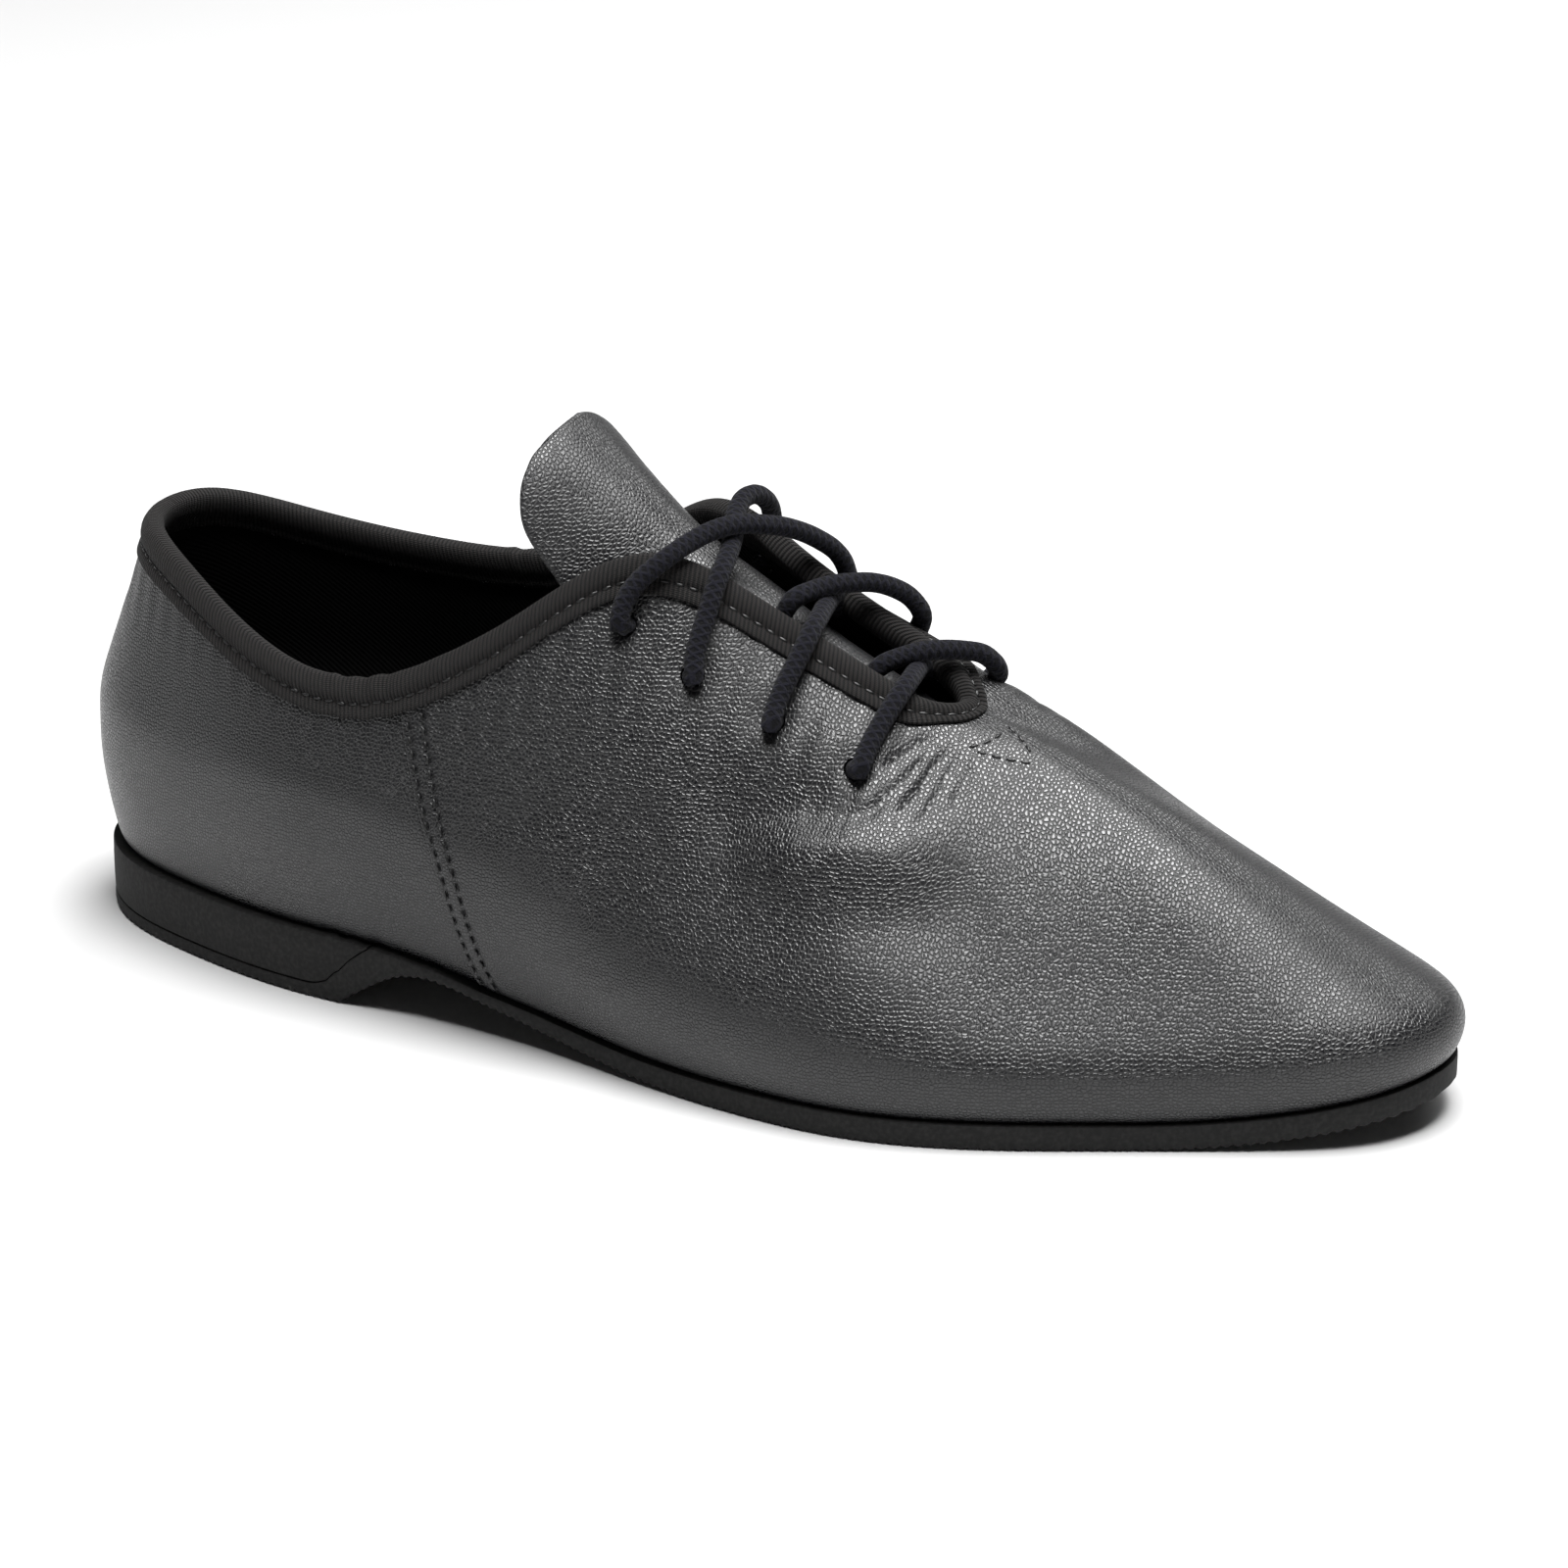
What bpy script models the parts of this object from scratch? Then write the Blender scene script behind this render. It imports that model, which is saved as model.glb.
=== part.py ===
"""Black leather lace-up dance shoe for the right foot, built in metres.

+X points to the toe, +Y to the inner (medial) side, +Z up. The floor is z = 0.
Every piece is worked out from the named sizes below and from two short tables:
RIB_SHARES (one row per rib of the upper, walked round the foot) and SOLE_SHARES (one row per
station of the side profile).
"""
import math

import bmesh
import bpy
import numpy as np
from mathutils import Vector

# Main sizes of the shoe
LENGTH = 0.2475
BALL_WIDTH = 0.084
HEEL_WIDTH = 0.062
INSTEP_RISE = 0.075
HEEL_HEIGHT = 0.0121
SOLE_THICKNESS = 0.0042
TOE_SPRING = 0.0058

# Walls and gaps
WALL = 0.0018
SEAM_STEP = 0.0006
FIT_GAP = 0.0003
SOLE_LEDGE = 0.0015
SOLE_EDGE_ROUND = 0.0005
INSOLE_THICKNESS = 0.0015

# Tape, holes, tongue and lace
TAPE_WIDTH = 0.0064
TAPE_THICKNESS = 0.0007
TAPE_HOLD = 0.0060
TAPE_GAP = 0.00045
HOLE_DIAMETER = 0.0042
TONGUE_THICKNESS = 0.0014
TONGUE_MIDDLE = 0.0015
CORD_DIAMETER = 0.0033
CORD_CLEAR = 0.0007

# Mesh fineness
FRONT_COLUMNS = 57
HEEL_COLUMNS = 24
ROW_HEIGHTS = (0.0, 0.07, 0.15, 0.25, 0.37, 0.50, 0.62, 0.73, 0.82, 0.89, 0.94, 0.97, 1.0)
SOLE_STATIONS = 44
INSOLE_STATIONS = 28
CORD_SIDES = 7

# Ribs of the upper, round the foot from the heel: outer side first, then inner side.
# foot_x, top_x: share of LENGTH. foot_y, top_y: share of the half width there.
# out, up: how far the wall swells out, and over which height, as shares of INSTEP_RISE.
# crown, brow: lifts of the rib's lower and upper middle, top_rise: height of the rim over
# the sole, all likewise. reach: how far up the rib the brow sits, as a share.
RIB_COLUMNS = ("foot_x", "foot_y", "out", "up", "crown", "brow", "reach", "top_x", "top_y", "top_rise")
RIB_SHARES = (
    (0.0032, 0.0000, 0.048, 0.347, 0.000, 0.000, 0.60, 0.0392, 0.0161, 0.7937),
    (0.0323, -0.4516, 0.048, 0.347, 0.000, 0.000, 0.60, 0.0533, -0.3065, 0.7884),
    (0.1131, -0.7968, 0.051, 0.333, 0.000, 0.000, 0.60, 0.1103, -0.6774, 0.7462),
    (0.2182, -1.0065, 0.060, 0.333, 0.007, 0.007, 0.60, 0.2020, -0.9194, 0.6247),
    (0.3232, -1.0142, 0.073, 0.320, 0.013, 0.013, 0.60, 0.2990, -0.9340, 0.6320),
    (0.4121, -0.9417, 0.080, 0.280, 0.027, 0.027, 0.60, 0.3838, -0.6937, 0.8317),
    (0.4929, -0.9484, 0.067, 0.227, 0.040, 0.040, 0.60, 0.4525, -0.3573, 0.9967),
    (0.5778, -0.9839, 0.047, 0.173, 0.053, 0.053, 0.60, 0.5253, -0.1646, 0.9271),
    (0.6586, -1.0000, 0.035, 0.147, 0.052, 0.065, 0.61, 0.5919, -0.1310, 0.8226),
    (0.7434, -0.8690, 0.032, 0.133, -0.007, 0.055, 0.67, 0.6323, -0.0881, 0.7533),
    (0.8323, -0.6071, 0.032, 0.133, -0.013, 0.054, 0.68, 0.6513, -0.0357, 0.7293),
    (0.9212, -0.3333, 0.035, 0.133, -0.013, 0.054, 0.68, 0.6578, 0.0119, 0.7227),
    (0.9778, -0.0714, 0.040, 0.133, -0.013, 0.054, 0.68, 0.6594, 0.0405, 0.7200),
    (0.9939, 0.2143, 0.040, 0.133, -0.013, 0.054, 0.68, 0.6598, 0.0524, 0.7200),
    (0.9818, 0.4405, 0.037, 0.133, -0.013, 0.054, 0.68, 0.6594, 0.0667, 0.7200),
    (0.9333, 0.6905, 0.032, 0.133, -0.006, 0.086, 0.68, 0.6578, 0.0952, 0.7227),
    (0.8525, 0.8643, 0.032, 0.133, 0.009, 0.159, 0.68, 0.6513, 0.1381, 0.7414),
    (0.7677, 0.9333, 0.032, 0.147, 0.014, 0.186, 0.68, 0.6323, 0.1905, 0.7720),
    (0.6869, 0.9214, 0.040, 0.173, 0.016, 0.185, 0.67, 0.5919, 0.2191, 0.8360),
    (0.5980, 0.8095, 0.060, 0.213, 0.069, 0.131, 0.63, 0.5253, 0.2604, 0.9498),
    (0.5091, 0.6972, 0.087, 0.253, 0.073, 0.073, 0.60, 0.4485, 0.4654, 1.0031),
    (0.4283, 0.6548, 0.100, 0.293, 0.040, 0.040, 0.60, 0.3798, 0.7264, 0.8619),
    (0.3394, 0.7625, 0.093, 0.320, 0.013, 0.013, 0.60, 0.3030, 0.9154, 0.7107),
    (0.2263, 0.9355, 0.067, 0.333, 0.007, 0.007, 0.60, 0.2061, 0.9194, 0.6701),
    (0.1131, 0.7968, 0.051, 0.333, 0.000, 0.000, 0.60, 0.1103, 0.7097, 0.7196),
    (0.0323, 0.4516, 0.048, 0.347, 0.000, 0.000, 0.60, 0.0533, 0.3387, 0.7884),
)

# Side profile of the sole: x as a share of LENGTH, underside of the rubber sheet as a
# share of HEEL_HEIGHT, sheet as a share of SOLE_THICKNESS, heel block over it as a
# share of HEEL_HEIGHT. The sheet runs down the heel's front and on under the heel.
SOLE_COLUMNS = ("x", "under", "sheet", "block")
SOLE_SHARES = (
    (0.0000, 0.000, 0.571, 0.802),
    (0.1616, 0.000, 0.571, 0.793),
    (0.2343, 0.000, 0.595, 0.777),
    (0.2485, 0.000, 0.810, 0.698),
    (0.2586, 0.000, 1.333, 0.512),
    (0.2707, 0.157, 1.548, 0.273),
    (0.2848, 0.339, 1.643, 0.041),
    (0.2990, 0.504, 1.190, 0.000),
    (0.3152, 0.620, 0.762, 0.000),
    (0.3313, 0.653, 0.548, 0.000),
    (0.3515, 0.603, 0.476, 0.000),
    (0.3758, 0.488, 0.524, 0.000),
    (0.4162, 0.322, 0.667, 0.000),
    (0.4646, 0.165, 0.786, 0.000),
    (0.5172, 0.050, 0.905, 0.000),
    (0.5657, 0.000, 1.000, 0.000),
    (0.8081, 0.000, 1.000, 0.000),
    (1.0343, 0.000, 1.000, 0.000),
)

# Side seams, where the front laps over the heel part: u at the sole, u at the rim, and
# how late the line turns. u is the share of the way round the foot line.
SEAM_SHARES = {"outer": (0.190, 0.1685, 0.7), "inner": (0.810, 0.822, 0.7)}

# Lace holes as (u, v), from the toe end up: v runs from the sole (0) to the rim (1).
NEAR_HOLE_SHARES = ((0.3250, 0.897), (0.2935, 0.908), (0.2655, 0.913), (0.2420, 0.945))
FAR_HOLE_SHARES = ((0.6390, 0.912), (0.6740, 0.930), (0.7030, 0.934), (0.7370, 0.943))

# Tongue, from its front end under the upper to its free tip: x as a share of LENGTH,
# height of its crest over the seat as a share of INSTEP_RISE, half width as a share of
# BALL_WIDTH, arch as drop at the side over half width, all read at the crest.
TONGUE_COLUMNS = ("x", "crest", "half", "arch")
TONGUE_SHARES = (
    (0.7111, 0.5973, 0.149, 0.72),
    (0.6909, 0.6240, 0.179, 0.82),
    (0.6667, 0.6533, 0.196, 0.84),
    (0.6343, 0.7160, 0.214, 0.90),
    (0.5980, 0.7840, 0.220, 1.00),
    (0.5576, 0.8479, 0.226, 1.06),
    (0.5212, 0.9110, 0.226, 1.06),
    (0.4889, 0.9653, 0.224, 1.02),
    (0.4606, 1.0148, 0.220, 0.92),
    (0.4343, 1.0677, 0.217, 0.78),
    (0.4081, 1.1206, 0.221, 0.64),
    (0.3879, 1.1649, 0.218, 0.48),
    (0.3774, 1.1888, 0.179, 0.38),
    (0.3717, 1.2001, 0.107, 0.34),
)

RIB = {name: np.array(values) for name, values in zip(RIB_COLUMNS, zip(*RIB_SHARES))}
TONGUE_LINE = {name: np.array(values) for name, values in zip(TONGUE_COLUMNS, zip(*TONGUE_SHARES))}
PROFILE = {name: np.array(values) for name, values in zip(SOLE_COLUMNS, zip(*SOLE_SHARES))}
UP = np.array((0.0, 0.0, 1.0))


def clear_scene():
    """Remove whatever the start-up scene holds."""
    for thing in list(bpy.data.objects):
        bpy.data.objects.remove(thing, do_unlink=True)


def spline_bend(knots, values):
    """Second slopes of the closed cubic curve through values at knots."""
    step = np.diff(knots)
    n = len(step)
    rise = (np.roll(values, -1) - values) / step
    matrix = np.zeros((n, n))
    right = np.zeros(n)
    for i in range(n):
        before = step[i - 1]
        matrix[i, i - 1] += before
        matrix[i, i] += 2.0 * (before + step[i])
        matrix[i, (i + 1) % n] += step[i]
        right[i] = 6.0 * (rise[i] - rise[i - 1])
    return np.linalg.solve(matrix, right)


def periodic_spline(knots, values, bend, at):
    """Closed cubic curve through values at knots (last knot = first point again)."""
    step = np.diff(knots)
    n = len(step)
    at = np.mod(at, knots[-1])
    i = np.clip(np.searchsorted(knots, at, side="right") - 1, 0, n - 1)
    j = (i + 1) % n
    h = step[i]
    a = knots[i + 1] - at
    b = at - knots[i]
    cubic = (bend[i] * a ** 3 + bend[j] * b ** 3) / (6.0 * h)
    line = (values[i] / h - bend[i] * h / 6.0) * a + (values[j] / h - bend[j] * h / 6.0) * b
    return cubic + line


def calm_curve(xs, ys, at):
    """Smooth curve through (xs, ys) that never swings past its points."""
    step = np.diff(xs)
    rise = np.diff(ys) / step
    slope = np.zeros(len(xs))
    same = rise[1:] * rise[:-1] > 0.0
    middle = 2.0 * rise[1:] * rise[:-1] / np.where(same, rise[1:] + rise[:-1], 1.0)
    slope[1:-1] = np.where(same, middle, 0.0)
    at = np.clip(at, xs[0], xs[-1])
    i = np.clip(np.searchsorted(xs, at, side="right") - 1, 0, len(step) - 1)
    t = (at - xs[i]) / step[i]
    start = (1.0 + 2.0 * t) * (1.0 - t) ** 2 * ys[i] + t * (1.0 - t) ** 2 * step[i] * slope[i]
    end = t * t * (3.0 - 2.0 * t) * ys[i + 1] + t * t * (t - 1.0) * step[i] * slope[i + 1]
    return start + end


def smooth(value, low, high):
    """Soft step from 0 at low to 1 at high."""
    t = np.clip((value - low) / (high - low), 0.0, 1.0)
    return t * t * (3.0 - 2.0 * t)


def half_width(x):
    """Half width that the foot_y and top_y shares are taken of."""
    return 0.5 * (HEEL_WIDTH + (BALL_WIDTH - HEEL_WIDTH) * smooth(x / LENGTH, 0.25, 0.60))


def toe_lift(x):
    """How far the toe spring lifts the sole at x."""
    return TOE_SPRING * np.maximum((x / LENGTH - 0.83) / 0.17, 0.0) ** 2


def sole_line(x):
    """Heights at x of the sole's underside, the sheet's upper face and the seat."""
    share = np.asarray(x) / LENGTH
    under = calm_curve(PROFILE["x"], PROFILE["under"], share) * HEEL_HEIGHT + toe_lift(x)
    sheet = under + calm_curve(PROFILE["x"], PROFILE["sheet"], share) * SOLE_THICKNESS
    seat = sheet + calm_curve(PROFILE["x"], PROFILE["block"], share) * HEEL_HEIGHT
    return under, sheet, seat


def rib_knots():
    """Length along the foot line at each rib, ending with the full way round."""
    foot_x = RIB["foot_x"] * LENGTH
    foot_y = RIB["foot_y"] * half_width(foot_x)
    step = np.hypot(np.roll(foot_x, -1) - foot_x, np.roll(foot_y, -1) - foot_y)
    return np.concatenate(([0.0], np.cumsum(step)))


KNOTS = rib_knots()
ROUND = KNOTS[-1]
BEND = {name: spline_bend(KNOTS, values) for name, values in RIB.items()}


def rib_curve(column, u):
    """Value of a rib column at u, the share of the way round the foot."""
    return periodic_spline(KNOTS, RIB[column], BEND[column], np.asarray(u) * ROUND)


def foot_line(u):
    """Points of the line where the upper meets the sole."""
    x = rib_curve("foot_x", u) * LENGTH
    y = rib_curve("foot_y", u) * half_width(x)
    return np.stack((x, y, sole_line(x)[2]), axis=-1)


def outward(u):
    """Level direction that points away from the foot, square to the foot line."""
    ahead = foot_line(np.asarray(u) + 0.002) - foot_line(np.asarray(u) - 0.002)
    side = np.stack((ahead[..., 1], -ahead[..., 0], np.zeros_like(ahead[..., 0])), axis=-1)
    return side / np.linalg.norm(side, axis=-1, keepdims=True)


def rim_line(u):
    """Points of the upper's rim, round the collar and down both lace edges."""
    x = rib_curve("top_x", u) * LENGTH
    y = rib_curve("top_y", u) * half_width(x)
    z = sole_line(x)[2] + rib_curve("top_rise", u) * INSTEP_RISE
    return np.stack((x, y, z), axis=-1)


def bent_line(points, t):
    """Clamped cubic B-spline of six points at t (0 to 1), in three equal spans."""
    knots = np.array((0.0, 0.0, 0.0, 0.0, 1.0, 2.0, 3.0, 3.0, 3.0, 3.0)) / 3.0
    t = np.clip(t, 0.0, 1.0 - 1e-9)
    weights = [((t >= knots[i]) & (t < knots[i + 1])).astype(float) for i in range(9)]
    for degree in (1, 2, 3):
        new = []
        for i in range(9 - degree):
            left = knots[i + degree] - knots[i]
            right = knots[i + degree + 1] - knots[i + 1]
            value = np.zeros_like(t)
            if left > 0.0:
                value = value + (t - knots[i]) / left * weights[i]
            if right > 0.0:
                value = value + (knots[i + degree + 1] - t) / right * weights[i + 1]
            new.append(value)
        weights = new
    return sum(weight[..., None] * point for weight, point in zip(weights, points))


def skin(u, v):
    """Outer face of the upper at u round the foot and v from the sole (0) to the rim (1)."""
    u, v = np.broadcast_arrays(np.asarray(u, dtype=float), np.asarray(v, dtype=float))
    foot = foot_line(u)
    side = outward(u)
    rim = rim_line(u)
    out = (rib_curve("out", u) * INSTEP_RISE)[..., None]
    up = (rib_curve("up", u) * INSTEP_RISE)[..., None]
    crown = (rib_curve("crown", u) * INSTEP_RISE)[..., None]
    brow = (rib_curve("brow", u) * INSTEP_RISE)[..., None]
    reach = rib_curve("reach", u)[..., None]
    low = foot + side * out * 0.75 + UP * up * 0.42
    swell = foot + side * out + UP * up
    way = rim - swell
    lower_middle = swell + way * 0.16 + UP * crown
    upper_middle = swell + way * reach + UP * brow
    return bent_line((foot, low, swell, lower_middle, upper_middle, rim), v)


def skin_normal(u, v):
    """Unit normal of the upper's outer face, pointing away from the foot."""
    u, v = np.broadcast_arrays(np.asarray(u, dtype=float), np.asarray(v, dtype=float))
    along = skin(u + 0.0015, v) - skin(u - 0.0015, v)
    rise = skin(u, np.minimum(v + 0.01, 1.0)) - skin(u, np.maximum(v - 0.01, 0.0))
    normal = np.cross(along, rise)
    return normal / np.linalg.norm(normal, axis=-1, keepdims=True)


def seam_u(side, v):
    """Where the side seam crosses height v, as a share of the way round."""
    at_sole, at_rim, turn = SEAM_SHARES[side]
    return at_sole + (at_rim - at_sole) * np.asarray(v, dtype=float) ** turn


def column_u(part, share, v):
    """u of a column that follows the seams: part is front or heel, share 0 to 1."""
    outer = seam_u("outer", v)
    inner = seam_u("inner", v)
    if part == "front":
        return outer + (inner - outer) * share
    return inner + (1.0 + outer - inner) * share


def rim_band(part, share, profile):
    """Points of a band on the rim at a column: each of the profile's rows holds the
    length down from the rim and the lift off the upper's outer face."""
    v = 1.0 - np.linspace(0.0, 1.0, 61) * 0.35
    track = skin(column_u(part, share, v), v)
    length = np.concatenate(([0.0], np.cumsum(np.linalg.norm(np.diff(track, axis=0), axis=1))))
    down, lift = np.array(profile).T
    v_here = np.interp(np.maximum(down, 0.0), length, v)
    u_here = column_u(part, share, v_here)
    over = np.outer(np.maximum(-down, 0.0), (track[0] - track[1]) / length[1])
    return skin(u_here, v_here) + over + skin_normal(u_here, v_here) * lift[:, None]


def new_material(name, hex_colour, roughness, metallic=0.0):
    """Plain material with a colour given as sRGB hex."""
    material = bpy.data.materials.new(name)
    material.use_nodes = True
    shader = material.node_tree.nodes["Principled BSDF"]
    part = [int(hex_colour[i:i + 2], 16) / 255.0 for i in (0, 2, 4)]
    linear = [c / 12.92 if c <= 0.04045 else ((c + 0.055) / 1.055) ** 2.4 for c in part]
    shader.inputs["Base Color"].default_value = (*linear, 1.0)
    shader.inputs["Roughness"].default_value = roughness
    shader.inputs["Metallic"].default_value = metallic
    material.diffuse_color = (*linear, 1.0)
    return material


def loft(name, sections, closed, material, sharp_deg=40.0):
    """Solid through equal closed sections; closed joins the last one to the first."""
    sections = np.asarray(sections)
    count, points = sections.shape[:2]
    spans = count if closed else count - 1
    mesh_data = bmesh.new()
    bmesh.ops.create_grid(mesh_data, x_segments=spans, y_segments=points, size=0.5)
    for vertex in mesh_data.verts:
        i = round((vertex.co.x + 0.5) * spans) % count
        j = round((vertex.co.y + 0.5) * points) % points
        vertex.co = Vector(sections[i, j])
    bmesh.ops.remove_doubles(mesh_data, verts=mesh_data.verts, dist=0.000002)
    open_edges = [edge for edge in mesh_data.edges if edge.is_boundary]
    if open_edges:
        bmesh.ops.holes_fill(mesh_data, edges=open_edges, sides=0)
    bmesh.ops.recalc_face_normals(mesh_data, faces=mesh_data.faces)
    mesh = bpy.data.meshes.new(name)
    mesh_data.to_mesh(mesh)
    mesh_data.free()
    mesh.shade_smooth()
    mesh.set_sharp_from_angle(angle=math.radians(sharp_deg))
    mesh.materials.append(material)
    thing = bpy.data.objects.new(name, mesh)
    bpy.context.scene.collection.objects.link(thing)
    return thing


def combine(thing, tool, operation):
    """Boolean of thing with a tool object that itself isn't shown."""
    tool.hide_render = True
    tool.display_type = "WIRE"
    step = thing.modifiers.new(operation.lower(), "BOOLEAN")
    step.operation = operation
    step.solver = "EXACT"
    step.object = tool


def outline(grow):
    """Outer and inner sides of the foot line in plan, grown outward by grow."""
    u = np.linspace(0.0, 1.0, 721)
    points = (foot_line(u) + outward(u) * grow)[:, :2]
    heel = int(np.argmin(points[:, 0]))
    points = np.roll(points[:-1], -heel, axis=0)
    toe = int(np.argmax(points[:, 0]))
    outer = points[:toe + 1]
    inner = np.concatenate((points[toe:], points[:1]))[::-1]
    return outer, inner


def slab(name, grow, end, faces, stations, round_by, material):
    """Sole-shaped solid from the heel to end (x), faces(x) giving its two heights."""
    outer, inner = outline(grow)
    first = outer[0, 0] + 0.00002
    last = min(end, outer[-1, 0] - 0.00002)
    turn = np.linspace(0.0, math.pi, stations)
    even = first + (last - first) * 0.5 * (1.0 - np.cos(turn))
    steps = PROFILE["x"] * LENGTH
    steps = steps[(steps > first + 0.002) & (steps < last - 0.002)]
    keep = [s for s in even if np.min(np.abs(steps - s), initial=1.0) > 0.001]
    sections = []
    for x in sorted([*keep, *steps]):
        y_out = float(np.interp(x, outer[:, 0], outer[:, 1]))
        y_in = float(np.interp(x, inner[:, 0], inner[:, 1]))
        low, high = faces(x)
        r = min(round_by, 0.3 * (high - low), 0.3 * (y_in - y_out))
        sections.append((
            (x, y_out, low + r), (x, y_out, high - r), (x, y_out + r, high), (x, y_in - r, high),
            (x, y_in, high - r), (x, y_in, low + r), (x, y_in - r, low), (x, y_out + r, low),
        ))
    return loft(name, sections, False, material)


def build_sole(rubber):
    """Rubber sheet from the toe to the back of the heel, and the heel block on it."""
    def sheet(x):
        under, top, _ = sole_line(x)
        return float(under), float(top)

    def block(x):
        _, top, seat = sole_line(x)
        return float(top) + FIT_GAP, float(seat)

    slab("outsole", SOLE_LEDGE, 2.0 * LENGTH, sheet, SOLE_STATIONS, SOLE_EDGE_ROUND, rubber)
    steps = PROFILE["x"][PROFILE["block"] > 0.05]
    end = float(steps[-1]) * LENGTH
    slab("heel", SOLE_LEDGE, end, block, INSOLE_STATIONS, SOLE_EDGE_ROUND, rubber)


def build_insole(cloth):
    """Thin board that lies in the upper on top of the sole."""
    def faces(x):
        seat = float(sole_line(x)[2])
        return seat + FIT_GAP, seat + FIT_GAP + INSOLE_THICKNESS

    slab("insole", -(WALL + 0.0011), 2.0 * LENGTH, faces, INSOLE_STATIONS, FIT_GAP, cloth)


def wall_section(part, share):
    """Closed section of the upper's wall at a column, outer face first."""
    v = np.array(ROW_HEIGHTS)
    u = column_u(part, share, v)
    face = skin(u, v)
    normal = skin_normal(u, v)
    step = SEAM_STEP if part == "front" else 0.0
    outer = face + normal * step
    inner = face - normal * WALL
    outer[0, 2] = sole_line(outer[0, 0])[2] + FIT_GAP
    inner[0, 2] = sole_line(inner[0, 0])[2] + FIT_GAP
    return np.concatenate((outer, inner[::-1]))


def hole_point(hole):
    """Middle of a lace hole on the outer face, and the normal there."""
    u, v = hole
    return skin(u, v), skin_normal(u, v)


def build_upper(leather):
    """One hollow wall with the lapped side seams as a step, and its eight lace holes."""
    sections = [wall_section("front", s) for s in np.linspace(0.0, 1.0, FRONT_COLUMNS)]
    sections += [wall_section("heel", s) for s in np.linspace(0.002, 0.998, HEEL_COLUMNS)]
    upper = loft("upper", sections, True, leather)
    punches = bmesh.new()
    for hole in (*NEAR_HOLE_SHARES, *FAR_HOLE_SHARES):
        middle, normal = hole_point(hole)
        punch = bmesh.ops.create_cone(
            punches, cap_ends=True, segments=12, radius1=HOLE_DIAMETER / 2.0,
            radius2=HOLE_DIAMETER / 2.0, depth=WALL * 6.0)
        turn = Vector(normal).to_track_quat("Z", "Y").to_matrix().to_4x4()
        bmesh.ops.transform(punches, matrix=turn, verts=punch["verts"])
        bmesh.ops.translate(punches, vec=Vector(middle), verts=punch["verts"])
    mesh = bpy.data.meshes.new("hole_punches")
    punches.to_mesh(mesh)
    punches.free()
    tool = bpy.data.objects.new("hole_punches", mesh)
    bpy.context.scene.collection.objects.link(tool)
    combine(upper, tool, "DIFFERENCE")
    return upper


def build_tape(ribbed):
    """Tape folded over the rim, all round the collar and the lace edges."""
    out = SEAM_STEP + TAPE_GAP
    back = -WALL - TAPE_GAP
    t = TAPE_THICKNESS
    top = -TAPE_GAP
    half_hold = TAPE_HOLD * 0.5
    profile = (
        (TAPE_WIDTH, out), (TAPE_WIDTH, out + t), (half_hold, out + t), (0.0, out + t),
        (top - t, 0.5 * out + t * 0.3), (top - t, back + t * 0.2),
        (0.0, back - t), (half_hold, back - t), (TAPE_HOLD, back - t),
        (TAPE_HOLD, back), (half_hold, back), (top, back), (top, out), (half_hold, out),
    )
    columns = [("front", s) for s in np.linspace(0.0, 1.0, FRONT_COLUMNS)]
    columns += [("heel", s) for s in np.linspace(0.0, 1.0, HEEL_COLUMNS)[1:-1]]
    sections = []
    for part, share in columns:
        u = column_u(part, share, 1.0)
        narrow = 1.0 - 0.42 * smooth(rim_line(u)[0] / LENGTH, 0.622, 0.652)
        here = [(down * narrow if down > 0.0 else down, lift) for down, lift in profile]
        sections.append(rim_band(part, share, here))
    loft("binding", sections, True, ribbed, 50.0)


def tongue_frame(x):
    """Crest point of the tongue at x, its unit normal in side view, half width and drop."""
    order = np.argsort(TONGUE_LINE["x"])
    xs = TONGUE_LINE["x"][order] * LENGTH

    def row(name, at):
        return calm_curve(xs, TONGUE_LINE[name][order], at)

    def height(at):
        return row("crest", at) * INSTEP_RISE + float(sole_line(at)[2])

    ahead, behind = min(x + 0.0008, xs[-1]), max(x - 0.0008, xs[0])
    slope = (height(ahead) - height(behind)) / (ahead - behind)
    normal = np.array((-slope, 0.0, 1.0)) / math.hypot(slope, 1.0)
    half = float(row("half", x)) * BALL_WIDTH
    return np.array((x, TONGUE_MIDDLE, height(x))), normal, half, float(row("arch", x)) * half


def tongue_point(x, across, lift):
    """Point of the tongue at x, across from -1 to 1, lifted off its upper face."""
    crest, normal, half, drop = tongue_frame(x)
    side = across * half
    tilt = 2.0 * drop * across / half
    face = crest + np.array((0.0, side, 0.0)) - normal * drop * across * across
    way = (normal + np.array((0.0, tilt, 0.0))) / math.hypot(1.0, tilt)
    return face + way * lift


def build_tongue(leather):
    """Arched leather tongue under the lace, with its rounded tip free above the collar."""
    xs = TONGUE_LINE["x"] * LENGTH
    stations = np.interp(np.linspace(0.0, 1.0, 27), np.linspace(0.0, 1.0, len(xs)), xs)
    across = np.linspace(-1.0, 1.0, 9)
    sections = []
    for x in stations:
        top = [tongue_point(x, a, 0.0) for a in across]
        under = [tongue_point(x, a, -TONGUE_THICKNESS) for a in across[::-1]]
        sections.append([*top, *under])
    loft("tongue", sections, False, leather)


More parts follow.
